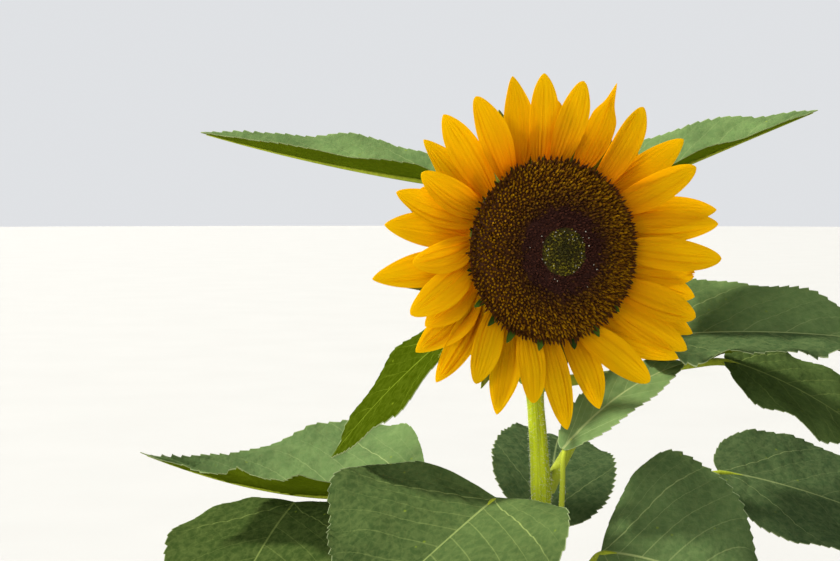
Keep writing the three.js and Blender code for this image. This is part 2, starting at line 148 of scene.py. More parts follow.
# Petals with a form of their own, by the bearing of their tip
PETAL_TRAITS = {
    65: {"twist": 38, "twist_start": 0.62, "sliver": 0.36},
    139: {"curl": -3},
    171: {"curl": 2},
    216: {"pleat": 2.8},
    # A tone of 1.2 is painted light on these two back petals, which their neighbours shade
    228: {"pleat": 3, "tone": 1.2},
    254: {"pleat": 2.6, "tone": 1.2},
    309: {"cup": 3.2},
    323: {"curl": 8, "twist": 25},
    351: {"fullness": 0.38, "ragged": 0.05},
}

# The finer petal: rows and columns of points, grooves, edges, and how far petals differ from each other
PETAL_ROWS = 44
PETAL_COLUMNS = 29
PETAL_ROW_POWER = 0.9
PETAL_SEED = 900
PETAL_EDGE_SHARE = 0.45
GROOVE_PLACES = (-0.74, -0.48, -0.24, 0.02, 0.27, 0.5, 0.73)
GROOVE_SHARES = (0.5, 1.0, 0.5, 0.85, 0.55, 1.0, 0.5)
GROOVE_WIDTH = 0.07
GROOVE_SWAY = 0.15
GROOVE_JITTER = 0.03
GROOVE_DEPTHS = (0.25, 1.15)
GROOVE_START = 0.1
GROOVE_END = 0.25
PETAL_WAVES = 7
PETAL_TEETH = 8
PETAL_RIBS = 21
PETAL_RIB_HEIGHT = 0.125
PETAL_PLEATS = (0.7, 1.3)
PETAL_ARCHES = (0.7, 1.4)
PETAL_CUPS = (0.3, 1.8)
PETAL_CURLS = (-1, 0.8)
PETAL_SWEEP = 0.7
SLIVER_START = 0.6
SLIVER_LENGTH = 0.22
RAGGED_START = 0.8
PETAL_TWIST = 9
PETAL_TIP_CURL = 3.2
PETAL_EDGE_WAVE = 0.8
PETAL_STAGGER = 0.4
# Share of each petal's tone that is painted light, paler toward the bottom of the head
PAINTED_LIGHT_BELOW = 0.6
PETAL_WIDTH_RANGE = (0.98, 1.1)

# Petals and bracts alike: where they end, how far apart their lines are picked, and the bake's tiles
RAY_END = 0.998
RAY_SPACING = 40
TILE_COLUMNS = 4
TILE_INSET = 0.004

# Bracts behind the petals, in two rows: lean, length, width, turn
BRACT_LEVEL = -10.8
BRACTS_IN_A_ROW = 13
BRACT_ROWS = [(-8, 37.5, 19, 0), (-26, 30.5, 17, 180 / BRACTS_IN_A_ROW)]
BRACT_START = 0.26
BRACT_FULLNESS = 0.72
BRACT_ARCH_SHARE = -0.085
BRACT_CUP = 2.4
BRACT_ROWS_OF_POINTS = 30
BRACT_COLUMNS = 13
BRACT_NARROWING = 0.55
NARROWING_START = 0.45
NARROWING_LENGTH = 0.4
BRACT_SEED = 300
BRACT_TURN_JITTER = 2.5
BRACT_STAGGER = 0.4
BRACT_LENGTHS = (0.9, 1.0)
BRACT_ARCHES = (0.7, 1.3)
BRACT_TWIST = 5
BRACT_CURLS = (-3.5, 1.5)
BRACT_SWEEP = 0.6
BRACT_KEEL = 0.5
BRACT_RIB_HEIGHT = 0.3
BRACT_EDGE_SHARE = 0.4

# Leaves: height of the foot on the stem, then bearing, length and rise of the leaf stalk and of the blade
# Bearings are degrees from +X toward +Y, and fold, roll and rise are degrees too
# Bow, sway, belly and lobe are shares of the blade's length
LEAF_FIELDS = (
    "name", "height", "arch", "stalk", "blade", "width", "fold", "roll", "bow", "sway", "belly", "lobe",
)
UPPER_LEAVES = [
    ("leaf_upper_left", 1197, 0.12, (137, 102, 61), (171, 164, 11), 62, 26, 11, -0.02, 0, 0.37, 0.02),
    ("leaf_upper_right", 1184, 0.12, (51, 106, 59), (12, 158, 21), 66, 25, -14, 0, 0, 0.36, 0.02),
    ("leaf_mid_left", 1177, 0.15, (206, 58, 27), (152, 110, -44), 78, 2, 34, 0.02, -0.05, 0.36, 0.04),
    ("leaf_right_far", 1172, 0, (30, 140, 3), (-8, 113, -29), 105, 2, -18, 0.06, -0.01, 0.44, 0.06),
    ("leaf_right_broad", 1112, 0.08, (39, 112, 47), (-12, 167, -1), 101, 10, -25, 0.04, 0.02, 0.33, 0.11),
    ("leaf_low_left", 1091, 0.04, (173, 71, 16), (173, 170, 6), 132, 22, 13, -0.1, 0.13, 0.27, -0.05),
    ("leaf_front", 1071, 0.1, (239, 70, 38), (215, 104, -32), 168, 12, 11, 0.04, -0.04, 0.43, 0.19),
    ("leaf_right_small", 1050, 0.02, (-54, 88, 78), (20, 90, 31), 37, 9, -31, 0.07, -0.04, 0.46, 0.02),
    ("leaf_right_front", 1030, 0.1, (-32, 62, 52), (-11, 104, -21), 160, 4, -39, 0.1, 0.06, 0.34, 0.09),
    ("leaf_back", 1038, 0.08, (80, 57, 53), (82, 151, 11), 80, 7, -13, 0.13, 0, 0.35, 0.1),
    ("leaf_right_shade", 1015, 0.12, (31, 163, 36), (-3, 178, -21), 118, 2, -25, 0.05, -0.01, 0.38, 0.12),
    ("leaf_left_shade", 1008, 0.06, (160, 177, 29), (243, 118, -38), 130, 5, -4, 0.07, 0, 0.39, 0.1),
]

# Looks of the upper leaves: tone is 0 for a pale leaf and 1 for a dark one, both the leaf's own tone and
# painted shade, with painted shade added toward the tip and on the right half, as seen from the foot (painted
# light below 0); waves and curls are those of the left and the right edge, and the painted backlight is how
# far the leaf is painted olive as if light came from behind
LOOK_FIELDS = ("tone", "tip_painted_shade", "side_painted_shade", "waves", "curls", "painted_backlight")
LEAF_LOOKS = {
    "leaf_upper_left": (0.0, 0.1, 0.0, (0.5, 0.5), (0, 0), 0.0),
    "leaf_upper_right": (0.0, 0.1, 0.0, (0.6, 0.6), (0, 0), 0.0),
    "leaf_mid_left": (0.8, -0.1, 0.1, (0.8, 0.8), (0, 0), 1.0),
    "leaf_right_far": (0.35, 0.0, 0.0, (2.0, 2.0), (0, 0), 0.5),
    "leaf_right_broad": (0.3, 0.1, 0.7, (1.2, 6.0), (0, 0.08), 0.1),
    "leaf_low_left": (0.25, 0.1, 0.0, (2.5, 1.0), (0.2, 0), 0.0),
    "leaf_front": (0.82, 0.3, 0.25, (1.0, 1.2), (0, 0), 0.35),
    "leaf_right_small": (0.0, 0.0, 0.0, (0.6, 0.6), (0, 0), 0.0),
    "leaf_right_front": (0.5, -0.2, -0.7, (1.0, 1.0), (0, 0), 0.1),
    "leaf_back": (1.05, 0.0, 0.0, (1.0, 1.0), (0, 0), 0.0),
    "leaf_right_shade": (1.0, 0.1, 0.0, (1.2, 1.2), (0, 0), 0.0),
    "leaf_left_shade": (1.4, 0.0, 0.0, (1.0, 1.0), (0, 0), 0.5),
}
LOWER_LOOKS = (0.5, 0.1, 0.0, (1.2, 1.2), (0, 0), 0.0)

# How wide the change from the left to the right half is, and the first leaf's seed
MIDRIB_BLUR = 0.12
LEAF_SEED = 1000

# Leaves lower on the stem follow one rule of size and turn
LOWER_LEAVES = 13
LOWEST_LEAF = 92
LOWER_LEAF_STEP = 70
GOLDEN_TURN = 137.5
LOWER_FIRST_BEARING = 40
LOWER_SHORTEST = 165
LOWER_LENGTH_GAIN = 65
LOWER_WIDTH_SHARE = 0.84
LOWER_STALK_SHARE = 0.58
LOWER_STALK_RISE = (30, 46)
LOWER_STALK_ARCH = 0.12
LOWER_BLADE_RISE = (-34, -26)
LOWER_FOLD = 7
LOWER_ROLL = 6
LOWER_BOW = 0.09
LOWER_BELLY = 0.36
LOWER_LOBE = 0.13

# What all leaves share, as shares of the blade's length or half width
RUFFLE = 0.05
RUFFLE_WAVES = 2.3
RUFFLE_SHIFT = 0.2
STALK_SPREAD = 0.1
STALK_RADIUS = (3.3, 2.5)
STALK_CLEARANCE = 0.4
WIDTH_POWER = 0.6
BLADE_START = 0.004
BLADE_END = 0.997

# The finer leaf: columns from the midrib to the edge, teeth, veins, swellings, midrib and stalk
RIB_COLUMNS = (0.0, 0.9, 2.0, 3.8)
BLADE_COLUMNS = (0.0, 0.05, 0.11, 0.18, 0.28, 0.38, 0.48, 0.58, 0.68, 0.78, 0.87, 0.95, 1.0)
TOOTH_STATIONS = 5
TOOTH_POINT = 0.8
TOOTH_HOOK = 0.55
TOOTH_SPREAD = (0.45, 1.25)
FEWEST_TEETH = 8
TEETH_TO_GROW = 3
TEETH_TO_SHRINK = 1.5
DEEPEST_TOOTH = 0.3
EDGE_POWER = 7
EDGE_SAMPLES = 400
LEAF_EDGE_SHARE = 0.6
VEIN_REACH = 0.6
VEIN_BEND = 1.25
VEIN_SHORTENING = 0.7
VEIN_PAIRS = 7
VEIN_CROWDING = 0.88
VEIN_OFFSET = 0.42
VEIN_OFFSET_START = 0.3
VEIN_SLANT = 0.8
VEIN_START = 0.14
VEIN_FOOT = 0.05
VEIN_END = 0.12
VEIN_RIDGE_WIDTH = 0.07
VEIN_EDGE_SHARE = 0.35
VEIN_TOP_SHARE = 0.35
QUILT_POWER = 0.8
QUILT_LEVEL = 0.45
EDGE_RIPPLE = 1.2
EDGE_RIPPLE_LENGTH = 26
EDGE_RIPPLE_POWER = 6
UNEVEN_FADE = 0.3
LIFT_START = 0.08
LIFT_END = 0.1
BLADE_UNEVENNESS = 1.2
FULL_RIPPLE_HALF_WIDTH = 50
BLADE_UNEVEN_LENGTH = 30
RIB_SINK = 0.9
RIB_SHARE = 0.72
RIB_TIP_RADIUS = 0.4
RIB_TAPER_POWER = 0.8
RIB_END = 0.975
RIB_THINNING = 0.1
RIB_SINK_LENGTH = 0.12
STALK_SIDES = 12
STALK_RINGS = 22
RIB_RINGS = 26
STALK_FOOT_GAIN = 1.9
STALK_FOOT_SHARE = 0.09
STALK_CHANNEL = 0.22
CHANNEL_START = 5
CHANNEL_WIDTH = 0.5
STALK_FOOT_WIDENING = 1.05
STALK_SINK = 2.2
FULL_STALK_WIDTH = 62
KINK_ROUNDS = 5
BLADE_TILE = (0, 0, 0.92, 1)
STALK_TILE = (0.93, 0, 1, 1)

# Florets of the disc, in the order of a spiral, the bed they stand on and the green tips round them
FLORET_SPREAD_POWER = 0.6
FLORET_TURN = 137.508
FLORET_EDGE_SHARE = 0.985
FLORET_SEED = 41
FLORET_DEPTH = 2.6
FLORET_BED = 1.4
FLORET_TILT = 0.16
FLORET_SHIFT = 0.22
MIDDLE_BUDS = 430
PALE_SPECKS = 0.09
DARK_SPECKS = 0.014
SHADE_START = 18
SHADE_END = 42
SHADE_BLUR = 1.8
RING_BLUR = 2.0
BUD_SIDES = 5
TUBE_SIDES = 6
STUB_SIDES = 5
RIM_START = 45.5
BED_STEPS = 12
BED_SIDES = 96
BED_MARGIN = 1.5
BED_LEAST = 0.2
GREEN_TIPS = 19
GREEN_TIP_ROWS = 10
GREEN_TIP_COLUMNS = 5
GREEN_TIP_LEVEL = -2.2
GREEN_TIP_ARCH = 0.08
GREEN_TIP_CUP = 0.6
GREEN_TIP_LENGTH_JITTER = 2.5
GREEN_TIP_HALF_THICKNESS = 0.25

# Lean, length and width of the green tips at the sides and top of the head, then at its lowest point
GREEN_TIP_LEANS = (18, 10)
GREEN_TIP_LENGTHS = (4.8, 9.3)
GREEN_TIP_WIDTHS = (2.2, 5.0)

# Profiles of the disc's small bodies, in pairs of radius and share of the height
GREEN_BUD = [(0.36, 0), (0.5, 0.5), (0.38, 0.82), (0.12, 0.98)]
DARK_BUD = [(0.45, 0), (0.6, 0.5), (0.42, 0.82), (0.16, 0.98)]
SPECK = [(0.3, 0), (0.5, 0.4), (0.3, 0.8)]
TUBE = [(0.45, 0), (0.52, 0.5), (0.64, 0.85), (0.48, 1.0)]
STUB = [(0.38, 0), (0.42, 0.7), (0.46, 0.86), (0.22, 0.98)]

# Heights, widths, lean and sink of those bodies
FLORET_BEND = 0.1
GREEN_BUD_HEIGHTS = (2.4, 3.0)
GREEN_BUD_WIDTH = 1.1
GREEN_BUD_LEAN = -0.2
DARK_BUD_HEIGHTS = (2.5, 3.5)
DARK_BUD_WIDTH = 1.05
DARK_BUD_LEAN = -0.1
SPECK_HEIGHTS = (0.5, 0.9)
SPECK_WIDTHS = (0.4, 0.7)
SPECK_SINK = 0.3
DARK_SPECK_SINK = -0.6
TUBE_HEIGHTS = (2.3, 2.9)
TUBE_LEAN = 0.12
STUB_HEIGHTS = (2.7, 3.7)
STUB_LEANS = (0.1, 0.35)
RIM_STUB_HEIGHTS = (3.4, 4.8)
RIM_STUB_WIDTH = 1.15
RIM_STUB_LEANS = (0.3, 1.0)
RIM_STUB_SINK = 2.2

# Hairs: how many, how deep their feet are sunk, how they stand, their lengths and radii
STEM_HAIR_START = 560
STEM_HAIRS = 9500
NECK_HAIRS = 900
BRACT_EDGE_HAIRS = 46
STALK_HAIRS = 90
HAIR_SINK = 0.3
BRACT_HAIR_SINK = 0.2
STEM_HAIR_POWER = 0.7
STEM_HAIR_DROOP = 0.15
STEM_HAIR_SPREAD = 0.22
STALK_HAIR_SPREAD = 0.25
BRACT_HAIR_SPREAD = 0.2
STEM_HAIR_LENGTHS = (0.9, 2.3)
STALK_HAIR_LENGTHS = (0.8, 2.0)
BRACT_HAIR_LENGTHS = (0.7, 1.6)
STALK_HAIR_RADIUS = 0.07
BRACT_HAIR_RADIUS = 0.06

# Patterns of the materials: how fine they are and how sharply they show, or how wide their lines are
LEAF_PATCHES = (34.0, 0.26)
LEAF_CLOUDS = (95.0, 0.3)
LEAF_SPECKS = (260.0, 0.16)
LEAF_NET = (150.0, 0.09)
LEAF_FINE_NET = (420.0, 0.16)
PETAL_PATCHES = (55.0, 0.3)
STEM_STRIPES = (420.0, 0.16)
STEM_PATCHES = (30.0, 0.25)
BRACT_PATCHES = (60.0, 0.25)
BRACT_NET = (380.0, 0.12)
FLORET_GRAIN = (900.0, 0.2)
FRECKLE_SCALE = 75.0
BLISTER_SCALE = 700.0
STRIPE_STRETCH = (1.0, 1.0, 0.035)
NET_BEND = 0.006

# Share of the light that passes through a leaf, a petal and a bract
LEAF_LIGHT_SHARE = 0.2
PETAL_LIGHT_SHARE = 0.55
BRACT_LIGHT_SHARE = 0.15

# Photograph's view
FOCAL_LENGTH = 75
SENSOR_WIDTH = 36
CAMERA_PLACE = (-0.05628, -0.99654, 1.28355)
CAMERA_PITCH = 3
CAMERA_REACH = (0.05, 300)

# Studio: the floor, and the light of the room and its shade to the camera
FLOOR_RADIUS = 60
FLOOR_SIDES = 64
ROOM_COLOUR = (0.95, 0.97, 1.0)
ROOM_LIGHT = 0.42
ROOM_SHADE = 0.78
LIGHT_DISTANCE = 3

# Lights: name, direction that they come from, strength, spread in degrees and colour
LIGHTS = [
    ("key_light", (-0.63, 0.03, 0.77), 5.0, 6, (1.0, 0.97, 0.9)),
    ("front_light", (-0.6, -0.76, 0.25), 2.3, 50, (1.0, 0.99, 0.97)),
    ("rear_light", (-0.4, 0.9, 0.1), 2.0, 50, (1.0, 0.99, 0.95)),
]


def unit(vectors):
    return vectors / np.linalg.norm(vectors, axis=-1, keepdims=True)


def smooth(value):
    value = np.clip(value, 0, 1)
    return value * value * (3 - 2 * value)


def mix(a, b, share):
    return a + (b - a) * share


def angles_round(count):
    """Angles evenly spaced round a full turn."""
    return np.arange(count) / count * 2 * math.pi


def spokes(angle):
    """Level unit vectors at the given angles."""
    return np.stack([np.cos(angle), np.sin(angle), np.zeros_like(angle)], -1)


def direction(bearing, rise):
    """A unit vector from a compass bearing and a rise above the horizontal."""
    turn, lift = math.radians(bearing), math.radians(rise)
    return np.array([math.cos(lift) * math.cos(turn), math.cos(lift) * math.sin(turn), math.sin(lift)])


def bezier2(a, b, c, t):
    t = np.asarray(t)[..., None]
    return a * (1 - t) ** 2 + b * 2 * t * (1 - t) + c * t * t


def ripple(points, length, seed, waves=7):
    """Smooth unevenness between about -1 and 1, the same each time for a seed."""
    rng = np.random.default_rng(seed)
    headings = unit(rng.normal(size=(waves, 3)))
    turns = 2 * math.pi / length * rng.uniform(0.6, 1.5, waves)
    phases = rng.uniform(0, 2 * math.pi, waves)
    return np.sin((points @ headings.T) * turns + phases).sum(-1) / math.sqrt(2 * waves)


def tube_rings(path, radii, side):
    """Rings round a path, carried along it without twist; radii has one row a ring and one column a side."""
    along = unit(np.gradient(path, axis=0))
    sides = np.empty_like(path)
    for k, heading in enumerate(along):
        side = unit(side - heading * (side @ heading))
        sides[k] = side
    normals = np.cross(along, sides)
    angle = angles_round(radii.shape[1])
    outward = np.cos(angle)[:, None] * sides[:, None] + np.sin(angle)[:, None] * normals[:, None]
    return path[:, None] + radii[..., None] * outward


class Shape:
    """Points, faces and values per point, gathered before one mesh is made from them."""

    def __init__(self):
        self.points = []
        self.faces = []
        self.slots = []
        self.places = []
        self.values = []
        self.count = 0

    def add(self, points, groups, values=None):
        """Adds closed bodies, turned to face out; a group is faces, slots and places in the bake."""
        volume = 0.0
        for faces, _, _ in groups:
            for corner in range(1, faces.shape[1] - 1):
                a, b, c = (points[faces[:, k]] for k in (0, corner, corner + 1))
                volume += np.einsum("ij,ij->", a, np.cross(b, c))
        step = 1 if volume >= 0 else -1
        for faces, slots, places in groups:
            places = np.zeros((*faces.shape, 2)) if places is None else places
            self.faces.append(faces[:, ::step] + self.count)
            self.slots.append(np.broadcast_to(slots, len(faces)))
            self.places.append(places[:, ::step])
        self.points.append(points)
        self.values.append((len(points), values or {}))
        self.count += len(points)

    def piece(self, name, materials, mapped=False):
        """One mesh object of all that was added."""
        mesh = bpy.data.meshes.new(name)
        faces = [face for block in self.faces for face in block.tolist()]
        mesh.from_pydata(np.concatenate(self.points) * MM, [], faces)
        mesh.polygons.foreach_set("material_index", np.concatenate(self.slots).astype(np.int32))
        mesh.shade_smooth()
        mesh.set_sharp_from_angle(angle=math.radians(SHARP_ANGLE))
        for key in sorted({key for _, values in self.values for key in values}):
            column = [np.broadcast_to(values.get(key, 0.0), count) for count, values in self.values]
            made = mesh.attributes.new(key, "FLOAT", "POINT")
            made.data.foreach_set("value", np.concatenate(column).astype(np.float32))
        if mapped:
            layer = mesh.uv_layers.new(name="OFBake")
            flat = np.concatenate([block.reshape(-1, 2) for block in self.places])
            layer.uv.foreach_set("vector", flat.astype(np.float32).ravel())
        for finish in materials:
            mesh.materials.append(material(finish))
        made = bpy.data.objects.new(name, mesh)
        bpy.context.scene.collection.objects.link(made)
        return made


def band_quads(rows, around, closed=False):
    """Row, band and corners of each quad between rings; closed joins the last ring to the first."""
    row, band = np.divmod(np.arange((rows if closed else rows - 1) * around), around)
    after, below = (band + 1) % around, (row + 1) % rows * around
    here = row * around
    return row, band, np.stack([here + band, here + after, below + after, below + band], 1)


def loft(shape, rings, slots=0, tile=(0, 0, 1, 1), values=None):
    """Adds a closed body through rings of points, with a fan over each end; slots has one number a band."""
    rows, around = rings.shape[:2]
    row, band, quads = band_quads(rows, around)
    here = np.arange(around)
    there = (here + 1) % around
    last = (rows - 1) * around
    middles = np.repeat([rows * around, rows * around + 1], around)
    fans = np.stack([middles, np.append(there, last + here), np.append(here, last + there)], 1)
    points = np.concatenate([rings.reshape(-1, 3), rings[:1].mean(1), rings[-1:].mean(1)])
    x = mix(tile[0], tile[2], np.arange(around + 1) / around)
    y = mix(tile[1], tile[3], np.arange(rows) / (rows - 1))
    corner_bands = np.stack([band, band + 1, band + 1, band], 1)
    corner_rows = np.stack([row, row, row + 1, row + 1], 1)
    places = np.stack([x[corner_bands], y[corner_rows]], -1)
    fan_x = np.tile(np.stack([x[:-1], x[1:], x[:-1]], 1), (2, 1))
    fan_y = np.repeat(y[[0, -1]], around)[:, None]
    fan_places = np.stack(np.broadcast_arrays(fan_x, fan_y), -1)
    spread = {}
    for key, value in (values or {}).items():
        full = np.broadcast_to(value, (rows, around))
        spread[key] = np.concatenate([full.ravel(), [full[0].mean(), full[-1].mean()]])
    band_slots = np.broadcast_to(slots, around)
    shape.add(points, [(quads, band_slots[band], places), (fans, np.tile(band_slots, 2), fan_places)], spread)


def sheet(shape, top, under, slots, tile=(0, 0, 1, 1), values=None):
    """Adds a thin body between two grids of points; slots are those of the top and of the underside."""
    columns = top.shape[1]
    bands = np.full(2 * columns, slots[1])
    bands[: columns - 1] = slots[0]
    spread = {}
    for key, value in (values or {}).items():
        full = np.broadcast_to(value, top.shape[:2])
        spread[key] = np.concatenate([full, full[:, ::-1]], 1)
    loft(shape, np.concatenate([top, under[:, ::-1]], 1), bands, tile, spread)


def scatter(shape, template, bases, axes, scales, slot, values=None):
    """Adds a copy of a small closed template at each base; axes has its x, y and z directions."""
    points, faces = template
    points = bases[:, None] + np.einsum("nkc,ncd->nkd", points[None] * scales[:, None], axes)
    count, corners = points.shape[:2]
    copies = (faces[None] + (np.arange(count) * corners)[:, None, None]).reshape(-1, faces.shape[1])
    spread = {key: np.repeat(value, corners) for key, value in (values or {}).items()}
    shape.add(points.reshape(-1, 3), [(copies, slot, None)], spread)


def spike_template(profile, sides, bend=0.0):
    """A small closed body from pairs of radius and height, as triangles, leaning by bend at its top."""
    top = profile[-1][1]
    rings = [spokes(angles_round(sides)) * r + [bend * (h / top) ** 2, 0, h] for r, h in profile]
    points = np.concatenate([*rings, [[0, 0, profile[0][1]], [bend, 0, top + profile[-1][0]]]])
    faces = []
    for k in range(len(profile) - 1):
        for i in range(sides):
            a, b = k * sides + i, k * sides + (i + 1) % sides
            faces += [(a, b, b + sides), (a, b + sides, a + sides)]
    last = (len(profile) - 1) * sides
    for i in range(sides):
        after = (i + 1) % sides
        faces += [(len(points) - 2, after, i), (len(points) - 1, last + i, last + after)]
    return points, np.array(faces)


def hair_template():
    """A hair of unit length: a long thin three-sided spike."""
    points = np.vstack([spokes(angles_round(3)), UP])
    return points, np.array([(0, 1, 3), (1, 2, 3), (2, 0, 3), (2, 1, 0)])


def add_hairs(shape, bases, away, spread, lengths, radius, rng, slot, sink=HAIR_SINK, droop=0.0):
    """Adds a hair at each base, standing away from it in a direction and at a length of its own."""
    away = unit(unit(away) + rng.normal(scale=spread, size=away.shape) - UP * droop)
    long = rng.uniform(*lengths, len(bases))
    sides = unit(np.cross(away, unit(rng.normal(size=away.shape))))
    axes = np.stack([sides, np.cross(away, sides), away], 1)
    scales = np.stack([np.full_like(long, radius), np.full_like(long, radius), long], 1)
    scatter(shape, hair_template(), bases - away * sink, axes, scales, slot)


def stem_centre(z):
    z = np.asarray(z, float)
    lean = STEM_LEAN * smooth(z / STEM_LEAN_HEIGHT)
    back = STEM_RETURN * smooth((z - STEM_RETURN_START) / STEM_RETURN_HEIGHT)
    return np.stack([lean - back, STEM_BELLY * np.sin(math.pi * z / STEM_BELLY_HEIGHT), z], -1)


def stem_radius(z):
    return STEM_TIP_RADIUS + STEM_FOOT_GAIN * np.clip(1 - z / STEM_TOP, 0, 1) ** STEM_TAPER_POWER


def root_flare(z, angle):
    """The ribbed swelling where the stem meets the ground."""
    return ROOT_FLARE * np.exp(-z / ROOT_FLARE_HEIGHT) * (1 + ROOT_RIB_SHARE * np.cos(ROOT_RIBS * angle))


def head_axes():
    """The head's own right, up and facing directions, one a row."""
    turn = math.radians(HEAD_TURN)
    right = np.array([math.cos(turn), math.sin(turn), 0.0])
    facing = np.array([math.sin(turn), -math.cos(turn), 0.0])
    return np.stack([right, UP, facing])


def on_head(points):
    """Points of the head's own frame, in the plant's."""
    return HEAD_CENTRE + points @ head_axes()


def neck_path():
    facing = head_axes()[2]
    start = stem_centre(STEM_TOP)
    end = HEAD_CENTRE + facing * (CUP_PROFILE[-2][1] + NECK_SINK)
    t = (np.arange(1, NECK_RINGS + 1) / NECK_RINGS)[:, None]
    a, b, c, d = start, start + UP * NECK_RISE, end - facing * NECK_REACH, end
    path = a * (1 - t) ** 3 + b * 3 * t * (1 - t) ** 2 + c * 3 * t * t * (1 - t) + d * t ** 3
    return path, mix(STEM_TIP_RADIUS, NECK_END_RADIUS, t[:, 0] ** 2)


def all_leaves():
    leaves = [dict(zip(LEAF_FIELDS, row)) for row in UPPER_LEAVES]
    leaves += [lower_leaf(index) for index in range(LOWER_LEAVES)]
    return [{**leaf, **dict(zip(LOOK_FIELDS, LEAF_LOOKS.get(leaf["name"], LOWER_LOOKS)))} for leaf in leaves]


def lower_leaf(index):
    """The lower leaves grow larger toward the middle of the stem and turn by the golden angle."""
    share = index / (LOWER_LEAVES - 1)
    length = LOWER_SHORTEST + LOWER_LENGTH_GAIN * math.sin(math.pi * share)
    bearing = LOWER_FIRST_BEARING + GOLDEN_TURN * index
    roll = LOWER_ROLL if index % 2 else -LOWER_ROLL
    stalk = (bearing, LOWER_STALK_SHARE * length, mix(*LOWER_STALK_RISE, share))
    blade = (bearing + roll, length, mix(*LOWER_BLADE_RISE, share))
    values = (
        f"leaf_lower_{index + 1:02d}", LOWEST_LEAF + LOWER_LEAF_STEP * index, LOWER_STALK_ARCH, stalk, blade,
        LOWER_WIDTH_SHARE * length, LOWER_FOLD, roll, LOWER_BOW, 0, LOWER_BELLY, LOWER_LOBE,
    )
    return dict(zip(LEAF_FIELDS, values))


def leaf_shape(leaf):
    """The rule of a leaf: an arched stalk from the stem, then a pointed, heart-based blade."""
    bearing, stalk_length, stalk_rise = leaf["stalk"]
    blade_bearing, length, rise = leaf["blade"]
    foot = stem_centre(leaf["height"])
    out = direction(bearing, 0)
    start = foot + out * (stem_radius(leaf["height"]) + STALK_CLEARANCE)
    heart = foot + direction(bearing, stalk_rise) * stalk_length
    tip = heart + direction(blade_bearing, rise) * length
    heading = direction(blade_bearing, 0)
    level = np.array([heading[1], -heading[0], 0.0])
    middle = (heart + tip) / 2 + UP * 2 * leaf["bow"] * length + level * 2 * leaf["sway"] * length
    stalk_middle = (start + heart) / 2 + UP * 2 * leaf["arch"] * stalk_length
    stalk_middle = stalk_middle + out * STALK_SPREAD * stalk_length
    return {"out": out, "start": start, "heart": heart, "tip": tip, "level": level, "middle": middle,
            "stalk_middle": stalk_middle}


def blade_share(t, belly):
    tail = WIDTH_POWER * (1 - belly) / belly
    return (t / belly) ** WIDTH_POWER * ((1 - t) / (1 - belly)) ** tail


def blade_axes(leaf, shape, t):
    """Directions along, across and square to the blade at stations t."""
    t = np.asarray(t, float)[..., None]
    along = unit((shape["middle"] - shape["heart"]) * (1 - t) + (shape["tip"] - shape["middle"]) * t)
    normal = unit(np.cross(shape["level"], along))
    side = unit(np.cross(along, normal))
    turn = math.radians(leaf["roll"])
    return (along, side * math.cos(turn) + normal * math.sin(turn),
            normal * math.cos(turn) - side * math.sin(turn))


def blade_points(leaf, shape, t, s, lift):
    """Points of the blade at shares t along it and s across it, lifted off its middle surface."""
    along, side, normal = blade_axes(leaf, shape, t)
    share = blade_share(t, leaf["belly"])
    half = leaf["width"] / 2
    fold = math.radians(leaf["fold"])
    across = s * half * share
    waves = np.sin(2 * math.pi * (RUFFLE_WAVES * t + RUFFLE_SHIFT * np.sign(s)))
    rise = np.abs(across) * math.sin(fold) + RUFFLE * half * np.abs(s) ** 3 * share * waves + lift
    back = leaf["lobe"] * leaf["blade"][1] * s * s * share * (1 - t) ** 3
    centre = bezier2(shape["heart"], shape["middle"], shape["tip"], t)
    return (centre + side * (across * math.cos(fold))[..., None] + normal * rise[..., None]
            - along * back[..., None])


def tooth_stations(leaf, shape, tooth_length):
    """Stations along the blade, evenly spaced on its edge, and the count of teeth."""
    t = np.linspace(BLADE_START, BLADE_END, EDGE_SAMPLES)
    lengths = 0
    for side in (-1.0, 1.0):
        edge = blade_points(leaf, shape, t, np.full(EDGE_SAMPLES, side), 0.0)
        lengths = lengths + np.concatenate([[0], np.cumsum(np.linalg.norm(np.diff(edge, axis=0), axis=1))])
    lengths = lengths / 2
    teeth = max(FEWEST_TEETH, round(lengths[-1] / tooth_length))
    places = np.linspace(0, lengths[-1], teeth * TOOTH_STATIONS + 1)
    return np.interp(places, lengths, t), teeth


def tooth_profile(teeth, depth, rng):
    """How far each station of one edge stands in from the outline, and how far it leans toward the tip."""
    phase = np.arange(teeth * TOOTH_STATIONS + 1) / TOOTH_STATIONS
    tooth = np.minimum(phase.astype(int), teeth - 1)
    part = phase - tooth
    saw = np.where(part <= TOOTH_POINT, part / TOOTH_POINT, (1 - part) / (1 - TOOTH_POINT))
    size = depth * rng.uniform(*TOOTH_SPREAD, teeth)[tooth]
    ends = smooth(np.minimum(phase / TEETH_TO_GROW, (teeth - phase) / TEETH_TO_SHRINK))
    return size * (1 - saw) * ends, size * saw * TOOTH_HOOK * ends


def vein_count(t, s):
    """A number that is whole on each side vein and grows toward the tip."""
    from_rib = t - VEIN_REACH * np.abs(s) ** VEIN_BEND * (1 - VEIN_SHORTENING * t)
    count = VEIN_PAIRS * np.sign(from_rib) * np.abs(from_rib) ** VEIN_CROWDING
    return count + np.where(s > 0, VEIN_OFFSET * smooth(from_rib / VEIN_OFFSET_START), 0)


def both_halves(left, right):
    """One grid from edge to edge, from two that each run from the midrib to an edge."""
    return np.concatenate([left[:, :0:-1], right], 1)


